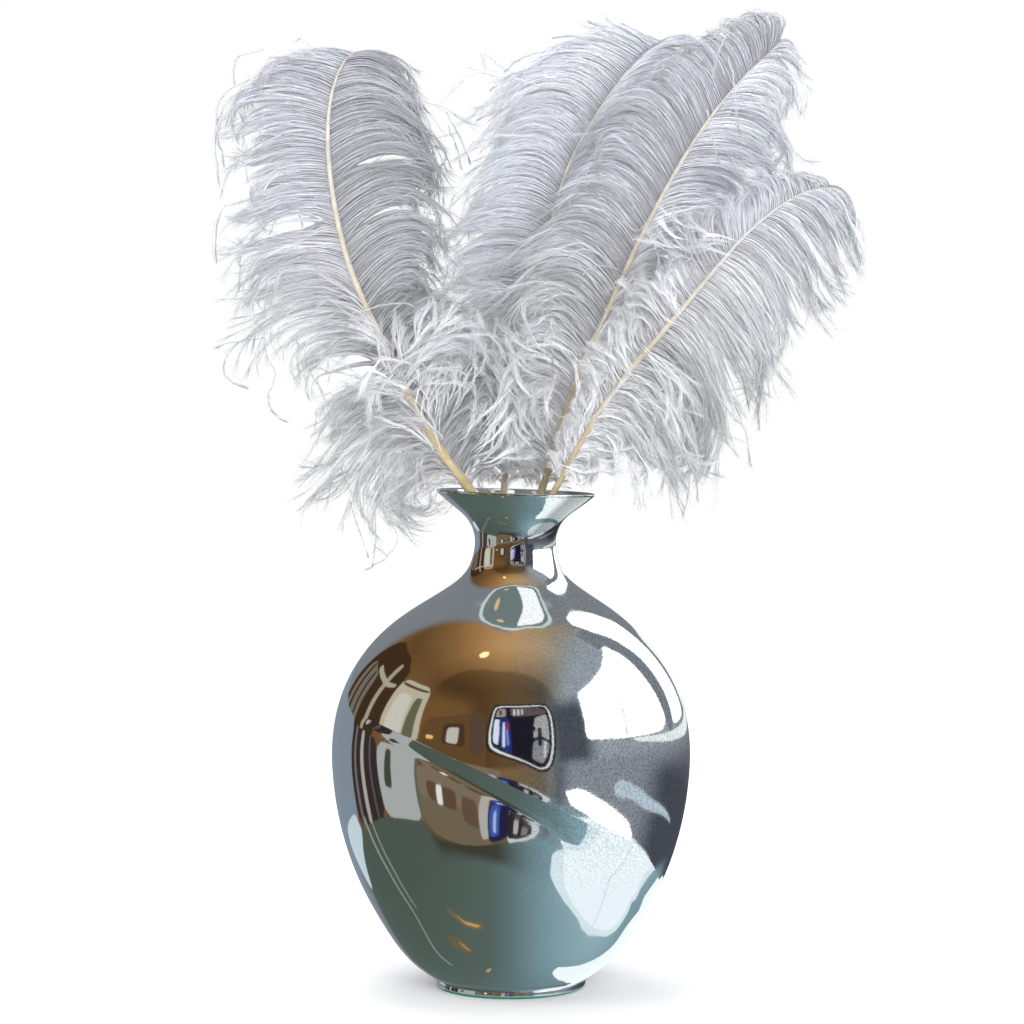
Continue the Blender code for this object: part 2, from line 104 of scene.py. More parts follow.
# ---- plumes, in millimetres
# shaft: points (across, towards the back, up), as in the CAD source
# quill: (distance along the shaft, radius), as in the CAD source but for the tall plume, a little thicker
# vane: where it begins and ends along the shaft
# rows: how the barbs lie, as (distance of the root along the shaft, halfway across and up, tip across and
#   up, tip towards the back)
# shades: painted light and shade, how light the vane is painted near its tip and at its downy end
# relief: how much lighter and darker single barbs are than their neighbours
# gaps: where locks part and leave a hole, as distances along the shaft
# wisps: single barbs that stand apart, each with its place towards the back and its points (across, up)
# tufts: loose curly barbs in front of the vanes, as (place towards the back, across, up, heading in degrees
#   from rightwards, length, how many)
PLUMES = {
    "left_feather": {
        "shaft": [(91, -4, 113), (40, -6, 192), (-9, -8, 268), (-26, -12, 296), (-41, -16, 316),
            (-58, -21, 346), (-75, -26, 381), (-92, -31, 420), (-103, -36, 469), (-105, -36, 500),
            (-102, -31, 525), (-96, -20, 541), (-89, -4, 549)],
        "quill": [(0, 2.6), (60, 3.4), (200, 3.6), (262, 2.8), (330, 2), (430, 1.5), (500, 0.6),
            (530, 0.4)],
        "vane": (223, 503),
        "left": {
            "shades": (0.84, 0.73), "relief": 0.0, "gaps": [(293, 304), (382, 390)],
            "rows": [(223, -24, -2, -46, -44, 2), (232, -29, 1, -56, -60, 4),
                (246, -32, 0, -62, -54, 6), (257, -32, -2, -69, -41, 8), (277, -29, -4, -55, -33, 10),
                (291, -29, -9, -52, -31, 10), (309, -35, 6, -67, -18, 12), (322, -35, 16, -82, -7, 14),
                (339, -32, 15, -79, -7, 18), (358, -33, 9, -76, -6, 23), (378, -33, -1, -74, -12, 28),
                (392, -31, 4, -72, -14, 32), (407, -32, -2, -68, -16, 34), (425, -32, 1, -64, -13, 38),
                (439, -31, 4, -63, -13, 39), (454, -31, 7, -62, -2, 40), (467, -26, 8, -58, 0, 35),
                (480, -25, 5, -52, -1, 30), (500, -21, 3, -46, -4, 16)]},
        "right": {
            "shades": (0.6, 0.6), "relief": 0.2, "gaps": [(374, 380), (409, 413)],
            "rows": [(221, 9, 12, 24, 9, 6), (241, 17, 27, 36, 31, 8), (270, 23, 26, 44, 28, 8),
                (294, 22, 23, 42, 29, 8), (312, 20, 22, 40, 30, 15), (330, 18, 21, 34, 14, 21),
                (347, 27, 23, 46, 9, 27), (365, 31, 21, 55, 9, 31), (386, 35, 20, 68, 2, 36),
                (407, 34, 16, 66, 1, 39), (422, 36, 16, 65, -2, 42), (438, 35, 11, 64, -8, 41),
                (453, 32, 5, 63, -21, 40), (466, 28, 1, 56, -26, 37), (483, 23, -2, 46, -28, 26),
                (504, 17, -3, 34, -23, 14)]},
        "wisps": [
            (0, [(-145, 550), (-152, 548), (-160, 545), (-162, 539), (-162, 530)]),
            (2, [(-153, 533), (-166, 526), (-174, 517), (-176, 512), (-173, 508), (-178, 499),
                (-179, 494), (-176, 486), (-172, 471)]),
            (6, [(-168, 510), (-174, 504), (-175, 498), (-171, 492), (-169, 483)]),
            (0, [(-167, 460), (-172, 453), (-178, 444), (-180, 433), (-178, 426)]),
            (-6, [(-145, 382), (-156, 380), (-164, 379), (-171, 377), (-179, 376)]),
            (-8, [(-149, 386), (-158, 379), (-166, 371), (-168, 362), (-163, 356), (-154, 353)]),
            (-10, [(-142, 371), (-138, 358), (-142, 346), (-140, 339), (-131, 333)]),
            (-18, [(-117, 364), (-102, 362), (-90, 359), (-77, 354)]),
            (-14, [(-119, 368), (-116, 360), (-110, 350), (-107, 343)]),
            (-45, [(-91, 395), (-79, 398), (-68, 401), (-55, 399), (-46, 390)]),
            (-48, [(-63, 373), (-71, 358), (-78, 347), (-85, 338)]),
            (-46, [(-70, 367), (-58, 369), (-49, 365), (-50, 356), (-57, 350)]),
            (-42, [(-80, 386), (-72, 377), (-66, 367), (-64, 355)]),
            (-8, [(-72, 275), (-66, 265), (-73, 254), (-85, 246)]),
            (-12, [(-79, 280), (-79, 264), (-81, 249)]),
            (-6, [(-102, 295), (-112, 292), (-118, 287), (-124, 281)]),
            (-8, [(-94, 287), (-88, 266), (-83, 254)]),
            (10, [(-38, 515), (-31, 501), (-26, 491), (-24, 485)]),
            (12, [(-37, 507), (-32, 494), (-29, 482)]),
            (-20, [(-136, 449), (-129, 457), (-119, 459), (-112, 453), (-114, 445)]),
            (-18, [(-140, 441), (-133, 453), (-124, 454), (-121, 446)]),
        ],
        "tufts": [(-40, -65, 352, 60, 56, 34), (-46, -63, 362, 112, 30, 16),
            (-46, -70, 373, 128, 26, 12), (-44, -61, 350, 150, 34, 12), (-44, -66, 365, -150, 36, 12),
            (-40, -57, 362, 40, 44, 16), (-34, -45, 369, 66, 36, 14), (-30, -36, 341, 58, 44, 16),
            (-28, -24, 322, 48, 38, 12), (-28, -17, 309, 20, 30, 10), (-34, -47, 334, 95, 40, 14),
            (-36, -41, 319, 120, 34, 12)],
    },
    "back_feather": {
        "shaft": [(-41, -24, 17), (-25, -3, 145), (-6, 15, 268), (-3, 20, 304), (1, 26, 331),
            (7, 33, 369), (16, 41, 411), (25, 48, 453), (34, 54, 484), (54, 60, 521), (71, 68, 545),
            (85, 80, 559), (97, 95, 567)],
        "quill": [(0, 2), (40, 2.3), (290, 2.2), (420, 1.6), (520, 1), (600, 0.4)],
        "vane": (292, 593),
        "left": {
            "shades": (1.03, 1.05), "relief": -0.25, "gaps": [],
            "rows": [(292, -11, 5, -19, -8, 2), (338, -20, 5, -38, -17, 5), (385, -23, 10, -45, -5, 13),
                (406, -32, 5, -60, -9, 17), (426, -34, 6, -65, -8, 22), (442, -33, 9, -67, -8, 26),
                (458, -31, 10, -68, -12, 31), (472, -29, 15, -68, -11, 34), (484, -27, 16, -68, -9, 36),
                (498, -29, 17, -69, -7, 38), (513, -30, 15, -69, -7, 38), (526, -32, 18, -76, -5, 37),
                (538, -31, 17, -76, 3, 34), (551, -31, 16, -70, 9, 28), (564, -26, 12, -57, 12, 19),
                (573, -17, 11, -38, 15, 12), (590, -11, 3, -25, 6, 6)]},
        "right": {
            "shades": (0.92, 1.05), "relief": -0.3, "gaps": [],
            "rows": [(292, 13, 5, 22, -7, 2), (338, 21, 8, 35, -14, 4), (383, 27, 9, 49, -14, 12),
                (426, 30, 11, 59, -14, 24), (463, 32, 11, 64, -17, 32), (495, 33, 11, 66, -16, 38),
                (520, 31, 11, 63, -10, 38), (538, 29, 13, 58, -3, 32), (555, 25, 12, 50, 2, 24),
                (570, 18, 8, 36, 4, 14), (582, 13, 6, 24, 4, 8)]},
        "wisps": [
            (66, [(66, 561), (56, 570), (47, 574)]),
            (70, [(49, 563), (36, 566), (25, 565)]),
            (70, [(21, 557), (4, 551), (-4, 544)]),
            (68, [(18, 548), (2, 543), (-13, 533)]),
            (64, [(5, 525), (-9, 520), (-20, 515)]),
        ],
        "tufts": [],
    },
    "tall_feather": {
        "shaft": [(-46, 32, 23), (-18, 25, 146), (11, 15, 268), (21, 11, 301), (32, 7, 338),
            (47, 2, 377), (57, -1, 398), (72, -6, 432), (86, -8, 460), (108, -8, 498), (129, -4, 526),
            (146, 6, 544), (157, 20, 555)],
        "quill": [(0, 2), (40, 2.3), (300, 2.3), (400, 2.0), (480, 1.4), (560, 0.7), (600, 0.4)],
        "vane": (288, 583),
        "left": {
            "shades": (0.74, 1.04), "relief": 0.25, "gaps": [],
            "rows": [(289, -14, 10, -25, -7, 0), (327, -22, 11, -48, -13, 3),
                (348, -27, 18, -57, -1, 6), (364, -28, 22, -60, -1, 9), (388, -32, 23, -66, -5, 12),
                (411, -32, 25, -67, 1, 14), (431, -30, 26, -64, 8, 17), (447, -26, 27, -58, 16, 19),
                (469, -26, 27, -53, 16, 22), (487, -22, 31, -48, 25, 24), (504, -18, 30, -39, 29, 24),
                (520, -15, 30, -34, 34, 24), (541, -12, 23, -24, 29, 21), (557, -7, 19, -21, 28, 15),
                (574, -2, 18, -12, 24, 8), (584, 7, 12, 8, 20, 6)]},
        "right": {
            "shades": (0.86, 1.05), "relief": 0.4, "gaps": [],
            "rows": [(289, 9, 5, 18, -7, 0), (327, 14, 8, 27, -4, 4), (363, 16, 15, 33, 10, 11),
                (387, 17, 16, 39, 9, 17), (410, 20, 15, 45, 11, 22), (430, 23, 11, 50, 3, 27),
                (446, 27, 7, 55, -5, 30), (468, 27, 4, 57, -12, 33), (485, 28, 1, 56, -13, 34),
                (503, 28, 0, 53, -16, 33), (519, 28, -2, 51, -21, 32), (539, 23, -2, 42, -26, 28),
                (556, 20, -1, 33, -25, 20), (573, 12, -2, 21, -19, 11), (584, 6, 5, 10, -3, 7)]},
        "wisps": [
            (-14, [(56, 474), (67, 467), (71, 459), (70, 455)]),
            (-12, [(65, 450), (74, 444), (79, 449)]),
            (-10, [(41, 418), (50, 424), (60, 422), (68, 418)]),
            (-24, [(125, 544), (129, 525), (130, 510), (132, 498)]),
            (-24, [(113, 513), (116, 497), (120, 482)]),
            (-22, [(125, 557), (118, 541), (116, 526)]),
            (-12, [(128, 487), (135, 475), (145, 458)]),
            (-28, [(100, 437), (114, 449), (137, 462)]),
            (-30, [(82, 438), (85, 423), (82, 409)]),
            (-26, [(69, 403), (71, 385), (65, 370)]),
            (-22, [(23, 393), (24, 379), (24, 365)]),
        ],
        "tufts": [(-10, 5, 313, 112, 36, 12), (-10, -8, 328, 100, 40, 12), (-12, 20, 322, 122, 34, 12),
            (-12, 5, 344, 130, 40, 12), (-14, -5, 357, 140, 38, 12), (-14, 18, 370, 150, 34, 10),
            (-16, 84, 404, 30, 34, 10), (-18, 74, 391, 55, 30, 10), (-16, 95, 424, 42, 30, 10),
            (-16, 62, 402, 60, 26, 10)],
    },
    "right_feather": {
        "shaft": [(-90, -19, 104), (-41, -17, 184), (11, -15, 268), (27, -18, 296), (42, -23, 324),
            (63, -31, 356), (83, -38, 380), (112, -49, 415), (135, -57, 441), (155, -62, 457),
            (170, -66, 464), (183, -68, 465)],
        "quill": [(0, 1.8), (40, 2.2), (240, 2.1), (330, 1.9), (400, 0.9), (470, 0.4)],
        "vane": (235, 463),
        "left": {
            "shades": (0.83, 1.03), "relief": -0.15, "gaps": [],
            "rows": [(235, -3, 10, 0, 24, 0), (252, 0, 12, 4, 27, 1), (283, -4, 12, -4, 25, 4),
                (311, -5, 13, -3, 28, 7), (331, -7, 12, -13, 20, 9), (351, -7, 14, -9, 25, 11),
                (368, -9, 15, -9, 27, 12), (387, -6, 14, -6, 27, 12), (399, -1, 14, -2, 28, 12),
                (411, 0, 13, -3, 26, 11), (427, 0, 12, -4, 23, 10), (444, -3, 9, -7, 17, 7),
                (454, -3, 7, -8, 12, 4), (459, -2, 5, -6, 8, 3)]},
        "right": {
            "shades": (0.78, 1.04), "relief": 0.5, "gaps": [],
            "rows": [(235, 9, 6, 18, -7, -4), (259, 18, 0, 29, -27, -6), (281, 23, -11, 37, -48, -5),
                (300, 25, -15, 41, -71, -1), (317, 24, -21, 41, -65, 3), (334, 22, -22, 43, -72, 7),
                (350, 20, -23, 42, -78, 12), (364, 21, -21, 41, -67, 16), (379, 20, -19, 42, -57, 19),
                (394, 21, -17, 41, -55, 21), (410, 20, -15, 40, -49, 23), (425, 19, -13, 37, -47, 24),
                (434, 19, -12, 37, -44, 23), (444, 19, -10, 36, -39, 21), (452, 16, -8, 31, -36, 17),
                (459, 12, -5, 23, -26, 12)]},
        "wisps": [
            (-52, [(100, 424), (107, 433), (117, 433), (120, 426), (112, 422)]),
            (-50, [(89, 420), (96, 428), (104, 424), (102, 414), (94, 409)]),
            (-26, [(104, 325), (107, 305), (108, 287)]),
            (-26, [(89, 312), (94, 296), (100, 283)]),
            (-24, [(118, 334), (124, 322), (132, 313)]),
            (-22, [(129, 344), (136, 327), (139, 307)]),
            (-20, [(135, 357), (143, 343), (144, 328)]),
        ],
        "tufts": [(-60, 123, 429, 150, 22, 8), (-58, 98, 399, 140, 26, 10),
            (-56, 103, 432, 160, 30, 10), (-52, 69, 364, 130, 26, 10), (-46, 57, 350, 108, 30, 10),
            (-40, 45, 337, 60, 28, 10), (-36, 44, 316, -20, 34, 10), (-40, 61, 323, -42, 36, 12),
            (-50, 79, 373, -32, 36, 10)],
    },
}

# ---- how a plume grows, in millimetres
QUILL_RINGS = 220
QUILL_SIDES = 18
QUILL_OVAL = 0.9  # its width against its depth
QUILL_GROOVE = (0.16, 0.45)  # depth, against the radius, and half width in radians
QUILL_END = (12, 0.25)  # its lower end narrows over this length, to this share
QUILL_TIP = (4, 0.05)
KNOT_RISE = 0.12  # against the radius
KNOT_SPACING = 37
KNOT_PLACE = 18  # of the first knot
KNOT_LENGTH = 1.8
KNOTS_END = 300
BARBS = 380  # on each side of a shaft
CROWDING = 1.1  # how much closer they stand low down
BARB_STEPS = 14
BARB_THICK = 0.23  # radius at the root
BARB_TAPER = 0.7  # share of it that is gone at the end
BARB_ARCH = 0.26  # of the tip's place towards the back, added halfway
REACH_SCATTER = 0.06  # against a barb's length
LIFT_SCATTER = 1.8  # of its end off the vane
ROOT_HEIGHT = (-0.4, 0.9)  # off the shaft's centre line, against its radius
STRAYS = 0.07  # share of the barbs that leave their strand
STRAY_REACH = 1.08
STRAY_HOLD = 0.1
FLUFF = 120  # loose barbs of the downy part, on each side
FLUFF_SPAN = 0.45  # share of the vane over which they are rooted
FLUFF_BELOW = 0.03  # share of the vane that they begin beneath it
FLUFF_CROWDING = 1.4
FLUFF_REACH = (0.45, 0.95)  # of a barb's length
FLUFF_RISE = (-2, 9)  # off the vane
LOCKS = 24  # groups of barbs on each side whose ends lie together
LOCK_WIDTHS = (0.5, 1.7)  # against each other
LOCK_REACH = (0.84, 1.05)  # of a barb's length
LOCK_LIFT = (-4, 6)  # of its ends off the vane
LOCK_PULL = (0.1, 0.7)  # of its ends towards its middle
LOCK_SWING = 0.07  # in the vane's plane, in radians
HOOKED = 0.3  # share of the locks whose ends hook
HOOKS = (0.8, 2.2)  # in radians
OTHER_HOOKS = (-0.3, 0.5)
STRANDS = 5  # groups inside a lock that part later
STRAND_HOLD = (0.35, 0.93)  # how closely barbs keep to their strand
STRANDS_GATHER = (0.42, 0.95)  # along a barb
LOCKS_GATHER = (0.55, 1.0)
DOWNY_ENDS = 0.40  # share of the vane, from its lower end
# how wavy a barb is, in radians a step: in the vane, and on top of that where it is downy, stray or loose
WAVE = 0.04
DOWNY_WAVE = 0.09
STRAY_WAVE = 0.05
FLUFF_WAVE = 0.13
WAVES = (13, 8, 9)  # radians of a wave along a barb: twice in the vane's plane, once out of it
HOOKS_BEGIN = 0.58  # along a barb
# spread of the hooks from strand to strand, from barb to barb and between downy strands
HOOK_SCATTER = (0.5, 0.15, 0.4)
# spread of the turns of stray and loose barbs, in the vane's plane and out of it
STRAY_SWING = 0.3
FLUFF_SWING = 0.38
OUT_SWING = 0.3
END_LIFT = (0.15, 0.5)  # mean and spread of the ends' turn off the vane
END_WAVE = 0.16  # how wavy the ends of strands are
# flat barbs just behind the others close the vane
BEDS_BEHIND = 1.3
BED_REACH = 0.86  # of a barb's length
BED_STEPS = 9
BED_WIDTH = 3.0
# painted shade: the flat barbs are darkest at the shaft, so the gaps between barbs look shaded; painted
# light makes them lighter under the downy part
BED_PAINTED_SHADE = (0.34, 0.62)  # at the shaft and at their ends
BED_PAINTED_LIGHT = 0.45  # how much lighter they are under the downy part
DOWN = 34000  # fine barbules on each plume
DOWN_STEPS = 3
DOWN_LENGTH = (6, 19)
DOWN_WIDTH = 0.27
DOWN_SPREAD = 3.6  # the most that they stand off their barb
DOWN_SLANT = (0.05, 0.30)  # how far they stand off it, against their length
DOWN_SCATTER = 0.28
WISP_THICK = 0.42
WISP_TAPER = 0.6
WISP_SCATTER = 0.3
WISP_LEAN = 3  # of its end, to the front or back
WISP_DOWN = 70  # barbules on a wisp
WISP_DOWN_LENGTH = (3, 8)
# painted shade: the wisps are darker, as they look against the light
WISP_PAINTED_SHADE = 0.62
TUFT_THICK = 0.45  # against a barb of the vane
TUFT_HEADINGS = 11  # their spread, in degrees
TUFT_SPREAD = 4.5  # of the roots
TUFT_LENGTHS = (0.6, 1.15)
TUFT_HOOKS = (0.1, 1.7)
TUFT_WAVES = ((0.22, 11), (0.35, 7))  # height and radians, across the view and towards it
TUFT_DOWN = 34  # barbules on a barb of a tuft
TUFT_DOWN_LENGTH = (9, 22)
TUFT_TONE = (0.75, 1.02)
GAP_EMPTY = 0.9  # share of a gap's barbs that lean to its edges
GAP_EDGE = 5  # how far into the edges they lean
GAP_OPENS = (0.15, 0.55)  # along a barb
DARKEST = 0.60  # of a vane's barbules, against its lightest
BARB_DARKEST = 0.75  # of its barbs
# painted shade: the ends of barbs and barbules are darkened, as thin ends look against the light
TIP_SHADE = 0.30  # how much darker the ends are
TIP_SHADED = (0.6, 1.0)  # along a barb
BOX_SPARE = (0.026, 0.040, 0.026)  # share of the solids' box that barbs may reach past it on each side
BOX_EASE = 12  # over which points near that limit are eased back
TOWARDS_FRONT = np.array([0.0, -1.0, 0.0])

Strands = namedtuple("Strands", "lines normals along tones shade")


# ---- mathematics
def natural_spline(points, count):
    """count points on the natural cubic spline through points, evenly spread in chord length"""
    points = np.asarray(points, float)
    knots = np.concatenate([[0.0], np.cumsum(np.linalg.norm(np.diff(points, axis=0), axis=1))])
    last = len(points) - 1
    gap = np.diff(knots)
    system = np.eye(last + 1)
    right = np.zeros_like(points)
    for i in range(1, last):
        system[i, i - 1:i + 2] = gap[i - 1], 2 * (gap[i - 1] + gap[i]), gap[i]
        right[i] = 6 * ((points[i + 1] - points[i]) / gap[i] - (points[i] - points[i - 1]) / gap[i - 1])
    bend = np.linalg.solve(system, right)
    at = np.linspace(0, knots[-1], count)
    i = np.clip(np.searchsorted(knots, at, side="right") - 1, 0, last - 1)
    h = gap[i][:, None]
    a = (knots[i + 1] - at)[:, None] / h
    b = 1 - a
    return a * points[i] + b * points[i + 1] + ((a**3 - a) * bend[i] + (b**3 - b) * bend[i + 1]) * h * h / 6


def unit(vectors):
    return vectors / np.maximum(np.linalg.norm(vectors, axis=-1, keepdims=True), 1e-9)


def smooth(low, high, value):
    """0 at low and 1 at high, easing in and out; high may be the smaller"""
    x = np.clip((value - low) / (high - low), 0, 1)
    return x * x * (3 - 2 * x)


def square_to(vectors, axes):
    """unit vectors made square to unit axes"""
    return unit(vectors - np.sum(vectors * axes, axis=-1, keepdims=True) * axes)


def turned(vectors, axes, angles):
    """vectors turned about unit axes by angles, all of them arrays"""
    c = np.cos(angles)[..., None]
    s = np.sin(angles)[..., None]
    along = np.sum(vectors * axes, axis=-1, keepdims=True)
    return vectors * c + np.cross(axes, vectors) * s + axes * along * (1 - c)


# ---- meshes
def mesh_object(name, points, quads, triangles=(), uv=None):
    """an object from arrays of points, four-cornered and three-cornered faces, and the points' uv places"""
    quads = np.asarray(quads, np.int32).reshape(-1, 4)
    triangles = np.asarray(triangles, np.int32).reshape(-1, 3)
    corners = np.concatenate([quads.ravel(), triangles.ravel()])
    mesh = bpy.data.meshes.new(name)
    mesh.vertices.add(len(points))
    mesh.vertices.foreach_set("co", np.asarray(points, np.float32).ravel())
    mesh.loops.add(len(corners))
    mesh.loops.foreach_set("vertex_index", corners)
    mesh.polygons.add(len(quads) + len(triangles))
    starts = np.concatenate([np.arange(len(quads)) * 4, len(quads) * 4 + np.arange(len(triangles)) * 3])
    mesh.polygons.foreach_set("loop_start", starts.astype(np.int32))
    if uv is not None:
        layer = mesh.uv_layers.new(name="along_and_tone")
        layer.data.foreach_set("uv", np.asarray(uv, np.float32)[corners].ravel())
    mesh.update(calc_edges=True)
    mesh.validate()
    mesh.shade_smooth()
    item = bpy.data.objects.new(name, mesh)
    bpy.context.scene.collection.objects.link(item)
    return item


def net_quads(rows, columns, closed=True):
    """faces between rows of points; a closed net joins the last column to the first"""
    row = np.arange(rows - 1)[:, None] * columns
    i = np.arange(columns if closed else columns - 1)[None, :]
    j = (i + 1) % columns
    return np.stack([row + i, row + j, row + j + columns, row + i + columns], axis=2).reshape(-1, 4)


def dress(piece, node, slot, *materials):
    """gives a piece its materials, hides it from the silvering, hangs it under the root and hides its node's
    solid
    """
    for material in materials:
        piece.data.materials.append(material)
    piece.visible_glossy = False
    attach(piece, "root")
    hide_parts(node)


def strand_uv(tone, n, k, sides):
    """share along the strand and its tone, which is one number a strand or one a step"""
    tone = np.asarray(tone)
    tone = tone[:, None] * np.ones((1, k)) if tone.ndim == 1 else tone
    tone = np.concatenate([np.repeat(tone[:, :-1], sides, axis=1), tone[:, -1:]], axis=1)
    share = np.concatenate([np.repeat(np.linspace(0, 1, k)[:-1], sides), [1.0]])
    return np.stack([np.broadcast_to(share, tone.shape), tone], axis=2).reshape(-1, 2)


class Bundle:
    """collects strands as plain arrays until they become one mesh"""

    def __init__(self):
        self.points = []
        self.quads = []
        self.triangles = []
        self.uv = []
        self.count = 0

    def add(self, body, tips, tone, closed):
        """strands from rings of points, body (n, rings, sides, 3), that end in tips (n, 1, 3)"""
        n, rings, sides, _ = body.shape
        size = rings * sides + 1
        start = self.count + np.arange(n)[:, None, None] * size
        i = np.arange(sides if closed else sides - 1)[None, None, :]
        i_next = (i + 1) % sides
        low = start + np.arange(rings - 1)[None, :, None] * sides
        quads = np.stack([low + i, low + i_next, low + i_next + sides, low + i + sides], axis=3)
        end = start + sides * (rings - 1)
        tip = np.broadcast_to(start + size - 1, (n, 1, i.size))
        self.triangles.append(np.stack([end + i, end + i_next, tip], axis=3).reshape(-1, 3))
        if closed:
            self.triangles.append((start + np.arange(sides)[::-1]).reshape(-1, sides))
        self.quads.append(quads.reshape(-1, 4))
        self.points.append(np.concatenate([body.reshape(n, -1, 3), tips], axis=1).reshape(-1, 3))
        self.uv.append(strand_uv(tone, n, rings + 1, sides))
        self.count += n * size

    def ribbons(self, lines, across, widths, tone):
        """flat strands that end in a point: lines, across (n, k, 3), widths (n, k), tone (n,) or (n, k)"""
        half = 0.5 * widths[:, :-1, None] * across[:, :-1]
        self.add(np.stack([lines[:, :-1] - half, lines[:, :-1] + half], axis=2), lines[:, -1:], tone, False)

    def tubes(self, lines, radii, tone):
        """three-sided strands that end in a point: lines (n, k, 3), radii (n, k), tone (n,) or (n, k)"""
        along = unit(np.gradient(lines, axis=1))
        first = unit(np.cross(along, np.array([0.31, -0.87, 0.39])))
        second = np.cross(along, first)
        turns = 2 * math.pi * np.arange(3) / 3
        ring = first[:, :, None] * np.cos(turns)[:, None] + second[:, :, None] * np.sin(turns)[:, None]
        body = lines[:, :-1, None] + ring[:, :-1] * radii[:, :-1, None, None]
        self.add(body, lines[:, -1:], tone, True)

    def build(self, name):
        return mesh_object(name, np.concatenate(self.points), np.concatenate(self.quads),
                           np.concatenate(self.triangles), np.concatenate(self.uv))


# ---- vase
class Vase:
    """the vase's skin with its diagonal step, and the rings of points that make it"""

    def __init__(self):
        line = natural_spline(VASE_OUTLINE, 1600) * MM
        self.radii = line[:, 0]
        self.heights = line[:, 1]
        slope = unit(np.gradient(line, axis=0))
        self.flares = slope[:, 0]
        self.rises = slope[:, 1]
        self.angles = 2 * math.pi * np.arange(VASE_SIDES) / VASE_SIDES
        self.turn = np.degrees(np.arctan2(np.cos(self.angles), -np.sin(self.angles)))
        self.depth = STEP_DEPTH * MM * smooth(*STEP_APPEARS, self.turn) * smooth(*STEP_ENDS, self.turn)
        self.step = self.step_height()
        self.rings = []

    def radius(self, z):
        return np.interp(z, self.heights, self.radii)

    def slope(self, z):
        return np.interp(z, self.heights, self.flares), np.interp(z, self.heights, self.rises)

    def step_height(self):
        """height of the step all round, found by going back and forth between height and radius"""
        bend = STEP_BEND * MM * smooth(*BEND_APPEARS, self.turn) * smooth(*BEND_ENDS, self.turn)
        z = np.full_like(self.angles, STEP_HEIGHT * MM)
        for _ in range(40):
            fall = math.tan(math.radians(STEP_SLOPE)) * self.radius(z) * np.cos(self.angles)
            lean = math.tan(math.radians(STEP_LEAN)) * self.radius(z) * np.sin(self.angles)
            z = 0.5 * z + 0.5 * (STEP_HEIGHT * MM - fall - lean - bend)
        return z

    def hollow(self, z):
        """how far the skin is drawn in under the step: a straight underside, a fillet, a slow return"""
        below = np.maximum(self.step - z, 0)
        ledge = STEP_LEDGE * MM * (1 + STEP_EASE * smooth(*EASE_APPEARS, self.turn))
        x = np.clip(below / (ledge * (0.25 + 0.75 * self.depth / (STEP_DEPTH * MM))), 0, 1)
        straight = 0.6
        fillet = np.clip((x - straight) / (1 - straight), 0, 1)
        turning = 0.5 * (1 - straight) * (2 * fillet - fillet**2)
        run_in = (np.minimum(x, straight) + turning) / (0.5 * (1 + straight))
        return self.depth * run_in * (1 - smooth(0, 1, below / (STEP_FADE * MM)))

    def row_height(self, level):
        low, middle, high = LEVEL_BELOW * MM, STEP_HEIGHT * MM, LEVEL_ABOVE * MM
        if level <= low or level >= high:
            return np.full_like(self.angles, level)
        if level <= middle:
            return low + (level - low) * (self.step - low) / (middle - low)
        return high - (high - level) * (high - self.step) / (high - middle)

    def ring(self, z, r):
        """adds a ring of points, its neck moved sideways and its mouth tipped"""
        x = r * np.cos(self.angles) + NECK_SHIFT * MM * smooth(*NECK_SHIFTS, z / MM)
        tilt = math.tan(math.radians(RIM_TILT)) * smooth(*RIM_TILTS, z / MM)
        self.rings.append(np.stack([x, r * np.sin(self.angles), z - x * tilt], axis=1))

    def foot(self):
        """a thick rounded pad of glass"""
        edge = FOOT_RADIUS
        for radius, height in ((PINHOLE, 0), (20, 0), (edge - 1.6, 0), (edge - 0.6, 0.35), (edge - 0.1, 1.1),
                               (edge, 2.2), (edge - 0.15, 3.4), (edge - 0.2, FOOT_HEIGHT - 0.9),
                               (edge + 0.6, FOOT_HEIGHT - 0.3)):
            self.ring(height * MM, radius * MM)

    def outside(self):
        """rows that follow the step, closer together on its ledge"""
        ledge = STEP_HEIGHT - STEP_LEDGE * (1 + STEP_EASE)
        rows = np.concatenate([
            np.linspace(FOOT_HEIGHT, ledge - 4, WALL_ROWS),
            np.linspace(ledge - 2, STEP_HEIGHT - 0.1, LEDGE_ROWS),
            STEP_HEIGHT + np.array(STEP_EDGE),
            np.linspace(STEP_HEIGHT + 8.5, LEVEL_ABOVE, WALL_ROWS),
            np.linspace(LEVEL_ABOVE + 2, LIP_HEIGHT, WALL_ROWS)])
        for level in rows:
            z = self.row_height(level * MM)
            self.ring(z, self.radius(z) - self.hollow(z))

    def lip(self):
        z = LIP_HEIGHT * MM
        flare, rise = self.slope(z)
        for turn in np.radians(LIP_TURNS):
            along = 0.5 * LIP_WALL * MM * math.sin(turn)
            inward = 0.5 * LIP_WALL * MM * (1 - math.cos(turn))
            self.ring(z + along * rise + inward * flare, self.radius(z) + along * flare - inward * rise)

    def inside(self):
        for level in (*np.linspace(*MOUTH_INSIDE, MOUTH_ROWS), *INSIDE_ROWS):
            z = level * MM
            flare, rise = self.slope(z)
            wall = (LIP_WALL + (WALL - LIP_WALL) * smooth(*WALL_THINS, level)) * MM
            drawn_in = self.hollow(z) * smooth(0, 20, (self.step - z) / MM)
            self.ring(z + wall * flare, self.radius(z) - wall * rise - drawn_in)
        self.ring(FLOOR_HEIGHT * MM, FLOOR_RADIUS * MM)
        self.ring(FLOOR_HEIGHT * MM, PINHOLE * MM)

    def build(self):
        self.foot()
        self.outside()
        self.lip()
        inside_start = len(self.rings) + 4
        self.inside()
        quads = net_quads(len(self.rings), VASE_SIDES)
        vase = mesh_object("silvered_vase", np.concatenate(self.rings), quads)
        dress(vase, "vase", "silvered_glass", silvered_glass(), vase_inside())
        finish = (np.arange(len(quads)) // VASE_SIDES >= inside_start).astype(np.int32)
        vase.data.polygons.foreach_set("material_index", finish)


